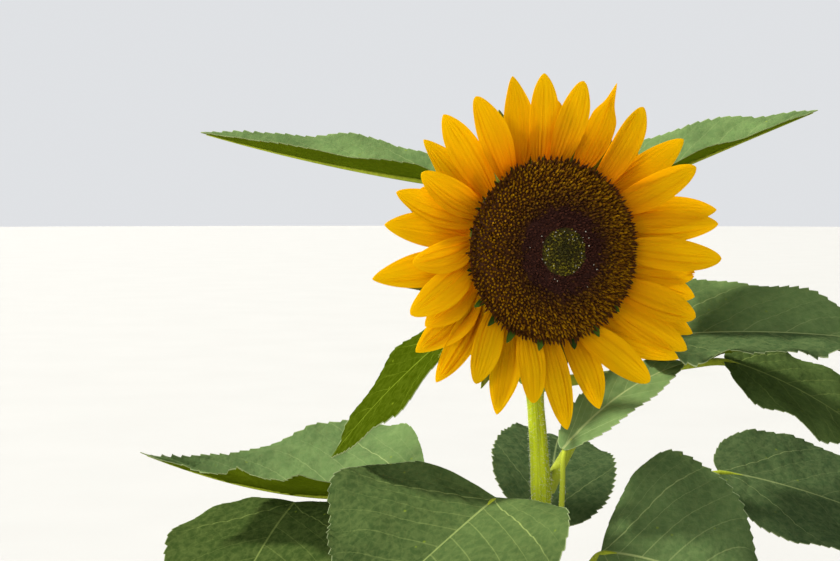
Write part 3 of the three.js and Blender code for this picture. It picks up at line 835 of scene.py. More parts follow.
def blade_grid(leaf, rule, sizes, rng):
    """Stations along the blade and its grids of points.

    The grids hold the share across it, its half width, how far teeth lean forward and the way to the edge.
    """
    t, teeth = tooth_stations(leaf, rule, sizes.tooth_length / MM)
    reach = leaf["width"] / 2 * blade_share(t, leaf["belly"])[:, None]
    u = np.array(BLADE_COLUMNS)
    fixed = np.full(len(u), np.inf)
    fixed[: len(RIB_COLUMNS)] = RIB_COLUMNS
    distance = np.minimum(fixed, u * reach)
    edge = u ** EDGE_POWER
    halves = []
    hooks = []
    for _ in range(2):
        inset, hook = tooth_profile(teeth, sizes.tooth_depth / MM, rng)
        halves.append(distance - np.minimum(inset[:, None], DEEPEST_TOOTH * reach) * edge)
        hooks.append(hook[:, None] * edge)
    left, right = halves
    from_edge = both_halves(left[:, -1:] - left, right[:, -1:] - right)
    return t, both_halves(-left, right) / reach, reach, both_halves(*hooks), from_edge


def blade_lift(leaf, rule, t, s, side, reach, quilt, seed):
    """How far the blade swells, ripples and curls off its middle surface."""
    middle = blade_points(leaf, rule, t, s, 0.0)
    spread = np.abs(s)
    calm = min(1, leaf["width"] / 2 / FULL_RIPPLE_HALF_WIDTH)
    uneven = calm * BLADE_UNEVENNESS * ripple(middle, BLADE_UNEVEN_LENGTH, seed)
    uneven = uneven * smooth(spread / UNEVEN_FADE)
    wave = calm * EDGE_RIPPLE * mix(*leaf["waves"], side)
    edge_wave = wave * ripple(middle, EDGE_RIPPLE_LENGTH, seed + 500) * spread ** EDGE_RIPPLE_POWER
    curl = mix(*leaf["curls"], side) * reach * s * s
    return (quilt * calm + uneven + edge_wave + curl) * smooth(t / LIFT_START) * smooth((1 - t) / LIFT_END)


def add_leaf(shape, leaf, sizes, seed):
    """Adds a leaf with its stalk and midrib: slots are top, underside, stalk and hairs."""
    rng = np.random.default_rng(seed)
    rule = leaf_shape(leaf)
    stations, s, reach, hook, from_edge = blade_grid(leaf, rule, sizes, rng)
    t = np.broadcast_to(stations[:, None], s.shape)
    spread = np.abs(s)
    side = smooth((s + MIDRIB_BLUR) / (2 * MIDRIB_BLUR))
    veins = vein_count(t, s)
    off_vein = np.abs(veins - np.round(veins))
    fade = smooth(spread / VEIN_START) * (1 - spread ** 5)
    fade = fade * smooth(t / VEIN_FOOT) * smooth((1 - t) / VEIN_END)
    quilt = sizes.quilting / MM * (np.sin(math.pi * off_vein) ** QUILT_POWER - QUILT_LEVEL) * fade
    lift = blade_lift(leaf, rule, t, s, side, reach, quilt, seed)
    thin = sizes.leaf_thickness / MM / 2 * mix(1, LEAF_EDGE_SHARE, spread ** 3)
    ridge = sizes.vein_height / MM * np.exp(-((off_vein / VEIN_RIDGE_WIDTH) ** 2))
    ridge = ridge * mix(1, VEIN_EDGE_SHARE, spread) * fade
    forward = blade_axes(leaf, rule, stations)[0][:, None] * hook[..., None]
    top = blade_points(leaf, rule, t, s, lift + thin - VEIN_TOP_SHARE * ridge) + forward
    under = blade_points(leaf, rule, t, s, lift - thin - ridge) + forward
    # Painted shade: the leaf's tone, with more or less of it toward the tip and on the right half where
    # shadows fall
    tone = leaf["tone"] + leaf["tip_painted_shade"] * (2 * t - 1) + leaf["side_painted_shade"] * side
    values = {
        "vein_count": veins, "vein_spacing": VEIN_SLANT * leaf["blade"][1] / VEIN_PAIRS,
        "leaf_along": t, "leaf_across": spread, "rib_distance": spread * reach, "edge_distance": from_edge,
        "leaf_tone": tone, "leaf_glow": leaf["painted_backlight"],
    }
    sheet(shape, top, under, (0, 1), BLADE_TILE, values)
    add_stalk(shape, leaf, rule, rng)


def add_stalk(shape, leaf, rule, rng):
    """Adds the leaf stalk and the midrib that it runs into under the blade."""
    ts = np.linspace(0, 1, STALK_RINGS)
    tb = np.linspace(0, RIB_END, RIB_RINGS)[1:]
    stalk = bezier2(rule["start"], rule["stalk_middle"], rule["heart"], ts)
    first = rule["start"] - rule["out"] * (STALK_SINK + STALK_CLEARANCE)
    stoutness = min(1, leaf["width"] / FULL_STALK_WIDTH)
    radius = stoutness * mix(*STALK_RADIUS, ts) + STALK_FOOT_GAIN * np.exp(-ts / STALK_FOOT_SHARE)
    rib_share = mix(1, RIB_SHARE, smooth(tb / RIB_THINNING)) * (1 - tb) ** (1 / RIB_TAPER_POWER)
    rib_radius = mix(RIB_TIP_RADIUS, stoutness * STALK_RADIUS[1], rib_share)
    rib = bezier2(rule["heart"], rule["middle"], rule["tip"], tb)
    sink = RIB_SINK * rib_radius * smooth(tb / RIB_SINK_LENGTH)
    rib = rib - blade_axes(leaf, rule, tb)[2] * sink[:, None]
    path = np.concatenate([first[None], stalk, rib])
    for _ in range(KINK_ROUNDS):
        zone = slice(STALK_RINGS - 3, STALK_RINGS + 2)
        middle = (path[STALK_RINGS - 4 : STALK_RINGS + 1] + path[STALK_RINGS - 2 : STALK_RINGS + 3]) / 2
        path[zone] = (path[zone] + middle) / 2
    radii = np.concatenate([[radius[0] * STALK_FOOT_WIDENING], radius, rib_radius])
    depth = STALK_CHANNEL * smooth(np.arange(len(path)) / CHANNEL_START)[:, None]
    channel = 1 - depth * np.exp(-(((angles_round(STALK_SIDES) - 1.5 * math.pi) / CHANNEL_WIDTH) ** 2))
    rings = tube_rings(path, radii[:, None] * channel, unit(np.cross(rule["out"], UP)))
    loft(shape, rings, 2, STALK_TILE, {"leaf_tone": leaf["tone"]})
    rows = rng.integers(2, STALK_RINGS - 2, STALK_HAIRS)
    columns = rng.integers(0, STALK_SIDES, STALK_HAIRS)
    bases = mix(rings[rows, columns], rings[rows + 1, columns], rng.random((STALK_HAIRS, 1)))
    away = bases - path[rows]
    add_hairs(shape, bases, away, STALK_HAIR_SPREAD, STALK_HAIR_LENGTHS, STALK_HAIR_RADIUS, rng, 3)


def half_width(t, ray):
    """Half the width of a petal or bract: it starts part of the way up its curve and ends in a point."""
    return ray["width"] / 2 * np.sin(math.pi * mix(ray["start"], 1, t) ** RAY_WIDEST_POWER) ** ray["fullness"]


def ray_points(ray, t, s, half, lift):
    """Points of a petal or bract in the head's frame; ray holds its own numbers."""
    start = direction(ray["root"], 0) * PETAL_ROOT_RADIUS
    out = direction(ray["tip"], 0) * ray["reach"] - start
    length = np.linalg.norm(out)
    side = unit(np.array([-out[1], out[0], 0.0]))
    bulge = np.sin(math.pi * t)
    twist_start = ray.get("twist_start", 0.0)
    twist = math.radians(ray["twist"]) * smooth((t - twist_start) / (1 - twist_start))
    across = s * half
    height = ray["level"] + length * t * math.tan(math.radians(ray["lean"]))
    height = height + (ray["arch"] * length + ray["cup"] * s * s) * bulge
    height = height + across * np.sin(twist) + ray["curl"] * t ** 3 + lift
    shift = across * np.cos(twist) + ray["sweep"] * bulge
    return start + out * t[..., None] + side * shift[..., None] + UP * height[..., None]


def ray_grid(t, columns):
    """Shares along a petal or bract and across it, as two grids that end just short of its tip."""
    t[-1] = RAY_END
    return np.meshgrid(t, np.linspace(-1, 1, columns), indexing="ij")


def ray_sheet(shape, ray, t, s, half, lift, thin, slot, values, tile=(0, 0, 1, 1)):
    """Adds the thin body of a petal, bract or scale, and gives back the points of its upper side."""
    top, under = (on_head(ray_points(ray, t, s, half, lift + way * thin)) for way in (1, -1))
    sheet(shape, top, under, (slot, slot), tile, values)
    return top


def petal_numbers(index, place, root, tip, reach, layer):
    """One petal's own numbers, a little different from its neighbours'."""
    rng = np.random.default_rng(PETAL_SEED + index)
    _, level, lean, fullness = PETAL_LAYERS[layer]
    numbers = {
        "root": root, "tip": tip, "reach": reach, "lean": lean, "start": PETAL_START, "fullness": fullness,
        "level": level + (PETAL_STAGGER if place % 2 else -PETAL_STAGGER),
        "arch": PETAL_ARCH_SHARE * rng.uniform(*PETAL_ARCHES), "cup": PETAL_CUP * rng.uniform(*PETAL_CUPS),
        "twist": rng.normal(scale=PETAL_TWIST), "curl": PETAL_TIP_CURL * rng.uniform(*PETAL_CURLS),
        "sweep": rng.normal(scale=PETAL_SWEEP), "width": PETAL_WIDTH * rng.uniform(*PETAL_WIDTH_RANGE),
        # Tone: a random share of the petal's own paleness, and painted light that grows toward the bottom of
        # the head
        "tone": mix(rng.random(), 0.5 - 0.5 * math.sin(math.radians(tip)), PAINTED_LIGHT_BELOW),
        "phase": rng.uniform(0, 2 * math.pi), "pleat": rng.uniform(*PETAL_PLEATS),
        "sliver": 0.0, "ragged": 0.0,
    }
    return {**numbers, **PETAL_TRAITS.get(tip, {})}


def petal_grooves(ray, t, s, rng):
    """The grooves along a petal: 0 between them and below 0 in them."""
    groove = np.zeros_like(s)
    width = GROOVE_WIDTH * mix(0.7, 1, ray["pleat"])
    for place, share in zip(GROOVE_PLACES, GROOVE_SHARES):
        drift = place * (1 + GROOVE_SWAY * np.sin(3 * t + ray["phase"])) + rng.normal(scale=GROOVE_JITTER)
        share *= rng.uniform(*GROOVE_DEPTHS)
        groove -= share * np.exp(-(((s - drift) / width) ** 2))
    return groove


def add_petal(shape, ray, sizes, seed, tile):
    """Adds one petal: a thin blade with grooves along it and a slightly wavy edge."""
    rng = np.random.default_rng(seed)
    t, s = ray_grid(np.linspace(0, 1, PETAL_ROWS) ** PETAL_ROW_POWER, PETAL_COLUMNS)
    half = half_width(t, ray) * (1 - ray["sliver"] * smooth((t - SLIVER_START) / SLIVER_LENGTH))
    fade = smooth(t / GROOVE_START) * smooth((1 - t) / GROOVE_END)
    groove = petal_grooves(ray, t, s, rng)
    lift = groove * sizes.groove_depth / MM * ray["pleat"] * fade
    wave = np.sin(PETAL_WAVES * t + ray["phase"] + 2 * np.sign(s))
    lift += PETAL_EDGE_WAVE * np.abs(s) ** 3 * wave * fade
    lift += PETAL_RIB_HEIGHT * np.sin(PETAL_RIBS * s + 2 * t + rng.uniform(0, 6)) * fade
    thin = sizes.petal_thickness / MM / 2 * mix(1, PETAL_EDGE_SHARE, np.abs(s) ** 2)
    torn = ray["ragged"] * smooth((t - RAGGED_START) / (1 - RAGGED_START))
    reach = t - torn * (1 + np.sin(PETAL_TEETH * s + ray["phase"]))
    values = {
        "petal_along": t, "petal_across": s * half + RAY_SPACING * seed, "petal_tone": ray["tone"],
        # The groove value is painted shade along the grooves, deeper on pleated petals
        "petal_groove": -groove * fade * (0.2 + 0.3 * ray["pleat"]) * mix(0.5, 1, smooth(t / 0.5)),
    }
    ray_sheet(shape, ray, reach, s, half, lift, thin, 0, values, tile)


def bract_numbers(index, bearing, lean, length, width):
    """One bract's own numbers, a little different from its neighbours'."""
    rng = np.random.default_rng(BRACT_SEED + index)
    bearing += rng.normal(scale=BRACT_TURN_JITTER)
    return {
        "root": bearing, "tip": bearing, "lean": lean,
        "level": BRACT_LEVEL + rng.uniform(-BRACT_STAGGER, BRACT_STAGGER),
        "reach": PETAL_ROOT_RADIUS + length * rng.uniform(*BRACT_LENGTHS), "width": width, "cup": BRACT_CUP,
        "start": BRACT_START, "fullness": BRACT_FULLNESS,
        "arch": BRACT_ARCH_SHARE * rng.uniform(*BRACT_ARCHES), "twist": rng.normal(scale=BRACT_TWIST),
        "curl": rng.uniform(*BRACT_CURLS), "sweep": rng.normal(scale=BRACT_SWEEP),
    }


def add_bract(shape, ray, sizes, seed, tile):
    """Adds one bract with a long narrow tip, and the hairs along its edges."""
    rng = np.random.default_rng(seed)
    t, s = ray_grid(np.linspace(0, 1, BRACT_ROWS_OF_POINTS), BRACT_COLUMNS)
    narrow = smooth((t - NARROWING_START) / NARROWING_LENGTH)
    half = half_width(t, ray) * mix(1, mix(1, 1 - t, BRACT_NARROWING), narrow)
    ribs = BRACT_RIB_HEIGHT * np.cos(5 * math.pi * s) * smooth((1 - t) / 0.4)
    lift = -BRACT_KEEL * np.exp(-((s / 0.1) ** 2)) + ribs
    thin = sizes.bract_thickness / MM / 2 * mix(1, BRACT_EDGE_SHARE, s ** 2)
    values = {"petal_along": t, "petal_across": s * half + RAY_SPACING * seed}
    top = ray_sheet(shape, ray, t, s, half, lift, thin, 0, values, tile)
    rows = rng.integers(2, BRACT_ROWS_OF_POINTS - 1, BRACT_EDGE_HAIRS)
    edges = rng.choice([0, BRACT_COLUMNS - 1], BRACT_EDGE_HAIRS)
    bases = top[rows, edges]
    away = bases - top[rows, BRACT_COLUMNS // 2] + 0.6 * (bases - top[rows - 1, edges])
    add_hairs(
        shape, bases, away, BRACT_HAIR_SPREAD, BRACT_HAIR_LENGTHS, BRACT_HAIR_RADIUS, rng, 1, BRACT_HAIR_SINK
    )


def dome_height(radius):
    """Height of the disc above its edge plane at a radius."""
    share = np.clip(1 - (np.asarray(radius, float) / DISC_RADIUS) ** 2, 0, 1)
    return DISC_EDGE_HEIGHT + DOME_HEIGHT * share ** DOME_POWER


def floret_places(count, inner, outer):
    """Places on the dome in the order of a spiral: radius, way out, point and normal in the head's frame."""
    order = (np.arange(count) + 0.5) / count
    radius = outer * order ** FLORET_SPREAD_POWER
    turns = np.arange(count)[radius > inner]
    radius = radius[radius > inner]
    out = spokes(np.radians(FLORET_TURN * turns))
    points = out * radius[:, None] + UP * dome_height(radius)[:, None]
    step = 0.5
    slope = (dome_height(np.minimum(radius + step, DISC_RADIUS)) - dome_height(radius - step)) / (2 * step)
    return radius, out, points, unit(UP - out * slope[:, None])


def chosen_of(places, chosen):
    return [field[chosen] for field in places]


def add_florets(shape, template, places, size, rng, slot, lean, sink=FLORET_DEPTH, values=None):
    """Adds a small body at each place, on the dome and leaning outward; size is its height and width."""
    _, out, points, normals = places
    count = len(points)
    tilt = rng.normal(scale=FLORET_TILT, size=normals.shape)
    points = points + rng.normal(scale=FLORET_SHIFT, size=points.shape)
    stand = unit(normals + out * np.broadcast_to(lean, count)[:, None] + tilt)
    side = unit(out - stand * np.einsum("ij,ij->i", out, stand)[:, None])
    ways = (side, np.cross(stand, side), stand)
    height, width = (np.broadcast_to(share, count) for share in size)
    scales = np.stack([width, width, height], 1)
    values = {"floret_tone": rng.random(count), "floret_shade": np.zeros(count), **(values or {})}
    axes = np.stack([way @ head_axes() for way in ways], 1)
    scatter(shape, template, on_head(points - normals * sink), axes, scales, slot, values)


class Nodes:
    """Adds shader nodes to one tree and joins them up; place is where the surface's patterns are taken."""

    def __init__(self, tree):
        self.tree = tree
        self.place = None

    def join(self, value, socket):
        """Links a socket, or sets its constant value; a colour comes without its alpha."""
        if isinstance(value, bpy.types.NodeSocket):
            self.tree.links.new(value, socket)
        else:
            socket.default_value = (*value, 1.0) if socket.type == "RGBA" else value

    def add(self, kind, values=None, **settings):
        """A shader node, with values or links put on its sockets."""
        made = self.tree.nodes.new("ShaderNode" + kind)
        for key, value in settings.items():
            setattr(made, key, value)
        for key, value in (values or {}).items():
            self.join(value, made.inputs[key])
        return made

    def math(self, operation, a, b=0.0):
        return self.add("Math", {0: a, 1: b}, operation=operation).outputs[0]

    def times(self, a, b):
        return self.math("MULTIPLY", a, b)

    def sum_of(self, *parts):
        """The sum of two values, each with its own share."""
        return self.math("ADD", *[self.times(value, share) for value, share in parts])

    def mix(self, share, a, b):
        """A mix of two colours."""
        made = self.add("Mix", data_type="RGBA", blend_type="MIX", clamp_factor=True)
        for index, value in ((0, share), (6, a), (7, b)):
            self.join(value, made.inputs[index])
        return made.outputs[2]

    def range(self, value, low, high, to_low=0.0, to_high=1.0, kind="SMOOTHSTEP"):
        """A value brought from one range to another."""
        values = {"Value": value, "From Min": low, "From Max": high, "To Min": to_low, "To Max": to_high}
        return self.add("MapRange", values, interpolation_type=kind).outputs[0]

    def line(self, value, low, high, to_low, to_high):
        """The same without easing at the ends."""
        return self.range(value, low, high, to_low, to_high, "LINEAR")

    def point(self, name):
        """A value that the mesh holds at each point."""
        return self.add("Attribute", attribute_name=name).outputs["Fac"]

    def group(self, name, *values):
        """The outputs of a node of a shared group, with values in the order of its inputs."""
        made = self.tree.nodes.new("ShaderNodeGroup")
        made.node_tree = shared_group(name)
        for value, socket in zip(values, made.inputs):
            self.join(value, socket)
        return made.outputs

    def mottle(self, scale, contrast, vector=None):
        """Soft uneven patches over the surface."""
        return self.group("Soft Mottle", vector or self.place, scale, contrast)["Value"]

    def streaks(self, *finenesses):
        """How far along a petal or bract a point is, then fine lines along it for each fineness."""
        along, across = self.point("petal_along"), self.point("petal_across")
        return along, *(self.group("Lengthwise Streaks", along, across, fine)["Value"] for fine in finenesses)

    def bump(self, height, strength, distance, normal=None):
        values = {"Height": height, "Strength": strength, "Distance": distance}
        if normal is not None:
            values["Normal"] = normal
        return self.add("Bump", values).outputs[0]

    def finish(self, output, colour, roughness, specular, normal=None, behind=None, through=0.0):
        """Puts the surface together, with light passing through it where behind gives that light's colour."""
        bent = {} if normal is None else {"Normal": normal}
        values = {"Base Color": colour, "Roughness": roughness, "Specular IOR Level": specular, **bent}
        shader = self.add("BsdfPrincipled", values).outputs[0]
        if behind is not None:
            passed = self.add("BsdfTranslucent", {"Color": behind, **bent})
            shader = self.add("MixShader", {0: through, 1: shader, 2: passed.outputs[0]}).outputs[0]
        self.tree.links.new(shader, output.inputs["Surface"])


def soft_mottle(nodes, vector, scale, contrast):
    """Soft uneven patches, from 0 to 1."""
    noise = nodes.add("TexNoise", {"Vector": vector, "Scale": scale, "Detail": 4.0})
    low = nodes.math("SUBTRACT", 0.5, contrast)
    high = nodes.math("ADD", 0.5, contrast)
    return [nodes.range(noise.outputs["Fac"], low, high)]


def vein_net(nodes, vector, scale, width):
    """The net of the finest veins: 1 on a vein, 0 between, and a height that swells between them."""
    bend = nodes.add("TexNoise", {"Vector": vector, "Scale": 90.0, "Detail": 2.0})
    shift = nodes.add("VectorMath", {0: bend.outputs["Color"], 1: (NET_BEND,) * 3}, operation="MULTIPLY")
    moved = nodes.add("VectorMath", {0: vector, 1: shift.outputs[0]}, operation="ADD")
    cells = {"Vector": moved.outputs[0], "Scale": scale}
    distance = nodes.add("TexVoronoi", cells, feature="DISTANCE_TO_EDGE").outputs["Distance"]
    return nodes.range(distance, 0.0, width, 1.0, 0.0), nodes.range(distance, 0.0, 0.45)


def leaf_veins(nodes, count, spacing, across, rib_distance, along):
    """The midrib, the two main veins from the leaf's base and the side veins, from values of its mesh."""
    nearest = nodes.math("ROUND", count)
    off = nodes.math("ABSOLUTE", nodes.math("SUBTRACT", count, nearest))
    distance = nodes.times(off, spacing)
    rank = nodes.math("ABSOLUTE", nearest)
    main = nodes.line(rank, 0.0, 1.0, 2.4, 1.0)
    width = nodes.times(nodes.line(across, 0.0, 1.0, 0.5, 0.22), main)
    inner = nodes.times(width, 0.35)
    side_vein = nodes.range(distance, inner, width, 0.8, 0.0)
    near_edge = nodes.range(across, 0.6, 1.0, 1.0, 0.3)
    veins = nodes.times(side_vein, near_edge)
    rib_width = nodes.line(along, 0.0, 1.0, 1.15, 0.35)
    rib_inner = nodes.times(rib_width, 0.45)
    rib = nodes.range(rib_distance, rib_inner, rib_width, 1.0, 0.0)
    base_vein = nodes.times(veins, nodes.line(rank, 0.0, 1.0, 0.85, 0.0))
    rib = nodes.math("MAXIMUM", rib, base_vein)
    return veins, rib, nodes.math("MAXIMUM", veins, rib)


def fine_streaks(nodes, along, across, fineness):
    """Fine lines along a petal or bract, from a value along it and one across it."""
    x = nodes.times(across, fineness)
    place = nodes.add("CombineXYZ", {"X": x, "Y": along})
    noise = nodes.add("TexNoise", {"Vector": place.outputs[0], "Scale": 1.0, "Detail": 3.0})
    return [nodes.range(noise.outputs["Fac"], 0.3, 0.7)]


# Shared node groups: what builds them, their inputs and their outputs
GROUPS = {
    "Soft Mottle": (soft_mottle, ("Vector", "Scale", "Contrast"), ("Value",)),
    "Fine Vein Net": (vein_net, ("Vector", "Scale", "Width"), ("Mask", "Height")),
    "Leaf Veins": (
        leaf_veins,
        ("Vein Count", "Spacing", "Across", "Rib Distance", "Along"),
        ("Veins", "Midrib", "Height"),
    ),
    "Lengthwise Streaks": (fine_streaks, ("Along", "Across", "Fineness"), ("Value",)),
}


def shared_group(name):
    """The node group of that name, made the first time that it is asked for."""
    if name in bpy.data.node_groups:
        return bpy.data.node_groups[name]
    build, inputs, outputs = GROUPS[name]
    tree = bpy.data.node_groups.new(name, "ShaderNodeTree")
    for way, labels in (("INPUT", inputs), ("OUTPUT", outputs)):
        for label in labels:
            kind = "NodeSocketVector" if label == "Vector" else "NodeSocketFloat"
            tree.interface.new_socket(label, in_out=way, socket_type=kind)
    nodes = Nodes(tree)
    start = tree.nodes.new("NodeGroupInput")
    end = tree.nodes.new("NodeGroupOutput")
    for value, socket in zip(build(nodes, *start.outputs[: len(inputs)]), end.inputs):
        nodes.join(value, socket)
    return tree


def leaf_surface(nodes, colours, main, dark, vein, vein_share, raised, roughness):
    """A leaf's top or underside: mottled, with veins, a pale rim, a few yellow freckles, painted shade by its
    tone and painted olive back-light.
    """
    across, tone, painted_backlight = (nodes.point(key) for key in ("leaf_across", "leaf_tone", "leaf_glow"))
    count, spacing, rib_distance, along = (
        nodes.point(key) for key in ("vein_count", "vein_spacing", "rib_distance", "leaf_along")
    )
    veins = nodes.group("Leaf Veins", count, spacing, across, rib_distance, along)
    net = nodes.group("Fine Vein Net", nodes.place, *LEAF_NET)
    fine = nodes.group("Fine Vein Net", nodes.place, *LEAF_FINE_NET)
    patches = nodes.mottle(*LEAF_PATCHES)
    specks = nodes.mottle(*LEAF_SPECKS)
    freckle = nodes.add("TexVoronoi", {"Vector": nodes.place, "Scale": FRECKLE_SCALE}).outputs["Distance"]
    clouds = nodes.mottle(*LEAF_CLOUDS)
    base = nodes.mix(nodes.times(patches, 0.45), main, dark)
    base = nodes.mix(nodes.times(clouds, 0.22), base, dark)
    # Painted shade: darker by the leaf's tone
    base = nodes.mix(nodes.times(tone, 0.8), base, dark)
    # Painted back-light: the top and its veins olive, as if light came from behind the leaf
    base = nodes.mix(painted_backlight, base, colours.backlit_olive)
    vein = nodes.mix(painted_backlight, vein, colours.underside_and_backlit_vein)
    base = nodes.mix(nodes.times(specks, 0.1), base, vein)
    base = nodes.mix(nodes.range(freckle, 0.03, 0.09, 0.4, 0.0), base, colours.freckle)
    base = nodes.mix(nodes.times(net["Mask"], 0.1 * vein_share), base, vein)
    # Veins and midrib fade under the painted shade of darker tones
    share = nodes.line(tone, 0.3, 1.2, vein_share, 0.35 * vein_share)
    base = nodes.mix(nodes.times(veins["Veins"], share), base, vein)
    base = nodes.mix(nodes.times(veins["Midrib"], nodes.line(tone, 0.3, 1.2, 0.85, 0.4)), base, vein)
    base = nodes.mix(nodes.range(nodes.point("edge_distance"), 0.1, 0.7, 0.55, 0.0), base, colours.rim)
    # The light through the leaf also turns olive with the tone and its painted shade
    passing = nodes.mix(tone, colours.leaf_light, colours.backlit_olive)
    normal = nodes.bump(nodes.sum_of((net["Height"], 0.6), (fine["Height"], 0.4)), 0.3, 0.0004)
    normal = nodes.bump(veins["Height"], 0.5 * raised, 0.0006, normal)
    normal = nodes.bump(clouds, 0.5, 0.0014, normal)
    rough = nodes.line(patches, 0.0, 1.0, roughness - 0.05, roughness + 0.07)
    return base, rough, 0.0, normal, passing, LEAF_LIGHT_SHARE


def petal_surface(nodes, colours):
    """Petals: orange at the root, golden toward the tip, with fine lines along them, painted light on the
    lower petals and painted shade in the grooves.
    """
    along, streaks, fine = nodes.streaks(1.7, 5.5)
    patches = nodes.mottle(*PETAL_PATCHES)
    root = nodes.range(along, 0.02, 0.6, 1.0, 0.0)
    tip = nodes.range(along, 0.45, 1.0)
    base = nodes.mix(tip, colours.petal, colours.petal_tip)
    base = nodes.mix(root, base, colours.petal_root)
    # Painted light: paler by the petal tone, most on the lower petals
    base = nodes.mix(nodes.times(nodes.point("petal_tone"), 0.8), base, colours.pale_and_lit_petal)
    base = nodes.mix(nodes.sum_of((streaks, 0.15), (fine, 0.12)), base, colours.petal_root)
    base = nodes.mix(nodes.times(patches, 0.12), base, colours.petal_root)
    # Painted shade in the grooves
    base = nodes.mix(nodes.point("petal_groove"), base, colours.crease_shade)
    normal = nodes.bump(nodes.sum_of((streaks, 0.7), (fine, 0.3)), 0.4, 0.0005)
    passing = nodes.mix(nodes.times(root, 0.75), colours.petal_light, colours.petal_root)
    return base, 0.6, 0.05, normal, passing, PETAL_LIGHT_SHARE


def stem_surface(nodes, colours, main, dark, stripe_share):
    """Stem, leaf stalks and the cup: green with pale stripes and small blisters at the foot of the hairs."""
    stretch = nodes.add("VectorMath", {0: nodes.place, 1: STRIPE_STRETCH}, operation="MULTIPLY").outputs[0]
    stripes = nodes.mottle(*STEM_STRIPES, stretch)
    patches = nodes.mottle(*STEM_PATCHES)
    blisters = nodes.add("TexVoronoi", {"Vector": nodes.place, "Scale": BLISTER_SCALE})
    dots = nodes.range(blisters.outputs["Distance"], 0.05, 0.3, 1.0, 0.0)
    base = nodes.mix(nodes.times(patches, 0.5), main, dark)
    base = nodes.mix(nodes.times(stripes, stripe_share), base, dark)
    pale = [min(1, 1.5 * channel + 0.03) for channel in main]
    base = nodes.mix(nodes.times(dots, 0.25), base, pale)
    normal = nodes.bump(nodes.sum_of((stripes, 0.6), (dots, 0.4)), 0.5, 0.0005)
    return base, nodes.line(patches, 0.0, 1.0, 0.5, 0.68), 0.1, normal


def plain_surface(nodes, colours, low, high, scale, contrast, roughness, specular):
    """Soft patches of two colours, for the hairs and the floor."""
    return nodes.mix(nodes.mottle(scale, contrast), low, high), roughness, specular


def bract_surface(nodes, colours):
    """Bracts: green with fine lines along them and a net of veins."""
    _, streaks = nodes.streaks(0.9)
    patches = nodes.mottle(*BRACT_PATCHES)
    net = nodes.group("Fine Vein Net", nodes.place, *BRACT_NET)
    base = nodes.mix(patches, colours.bract, colours.leaf_dark)
    base = nodes.mix(nodes.times(streaks, 0.35), base, colours.stem)
    base = nodes.mix(nodes.times(net["Mask"], 0.2), base, colours.vein)
    normal = nodes.bump(nodes.sum_of((streaks, 0.6), (net["Height"], 0.4)), 0.5, 0.0006)
    return base, 0.62, 0.05, normal, colours.leaf_light, BRACT_LIGHT_SHARE


def floret_surface(nodes, colours, low, high, roughness):
    """Florets, each with its own tone between two colours, and darker where they are shaded."""
    tone = nodes.point("floret_tone")
    grain = nodes.mottle(*FLORET_GRAIN)
    base = nodes.mix(tone, low, high)
    base = nodes.mix(nodes.times(grain, 0.35), base, low)
    base = nodes.mix(nodes.times(nodes.point("floret_shade"), 0.9), base, colours.dark_low)
    normal = nodes.bump(grain, 0.4, 0.0002)
    return base, nodes.line(grain, 0.0, 1.0, roughness - 0.06, roughness + 0.08), 0.05, normal


# Materials: what builds them, the names of their own colours and their own numbers
FINISHES = {
    "leaf_top": (leaf_surface, ("leaf", "leaf_dark", "vein"), (0.5, -0.5, 0.6)),
    "leaf_underside": (leaf_surface, ("underside", "underside_dark", "underside_and_backlit_vein"), (0.45, 1.0, 0.65)),
    "leaf_stalk_skin": (stem_surface, ("stalk", "stem_dark"), (0.3,)),
    "stem_skin": (stem_surface, ("stem", "stem_dark"), (0.45,)),
    "cup_skin": (stem_surface, ("bract", "leaf_dark"), (0.3,)),
    "plant_hair": (plain_surface, ("hair_low", "hair_high"), (60.0, 0.3, 0.45, 0.4)),
    "bract_skin": (bract_surface, (), ()),
    "petal_gold": (petal_surface, (), ()),
    "floret_tube": (floret_surface, ("floret_low", "floret_high"), (0.6,)),
    "floret_stub": (floret_surface, ("stub_low", "stub_high"), (0.5,)),
    "dark_bud": (floret_surface, ("dark_low", "dark_high"), (0.55,)),
    "green_bud": (floret_surface, ("bud_low", "bud_high"), (0.6,)),
    "scale_green": (floret_surface, ("scale_low", "scale_high"), (0.6,)),
    "pale_tip": (floret_surface, ("speck_low", "speck_high"), (0.6,)),
    "pale_floor": (plain_surface, ("floor_low", "floor_high"), (1.5, 0.4, 0.9, 0.2)),
}


def material(name):
    """The plant's material of that name, made the first time that it is asked for."""
    if name in bpy.data.materials:
        return bpy.data.materials[name]
    build, keys, numbers = FINISHES[name]
    colours = bpy.context.scene.sunflower_colours
    made = bpy.data.materials.new(name)
    made.use_nodes = True
    made.node_tree.nodes.clear()
    nodes = Nodes(made.node_tree)
    output = nodes.add("OutputMaterial")
    nodes.place = nodes.add("TexCoord").outputs["Object"]
    nodes.finish(output, *build(nodes, colours, *(getattr(colours, key) for key in keys), *numbers))
    return made


def place_piece(piece, slot, *nodes):
    """Rides the piece on the plant and hides the CAD nodes that it stands for; the slot, which would name its
    finish, is not used.
    """
    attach(piece, "root")
    if nodes:
        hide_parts(*nodes)


def length_property(name, text, millimetres):
    return FloatProperty(
        name=name, description=text, default=millimetres * MM, min=0, unit="LENGTH", subtype="DISTANCE",
        precision=5,
    )


def colour_property(name, text, colour):
    return FloatVectorProperty(
        name=name, description=text, default=colour, min=0, max=1, subtype="COLOR", size=3
    )


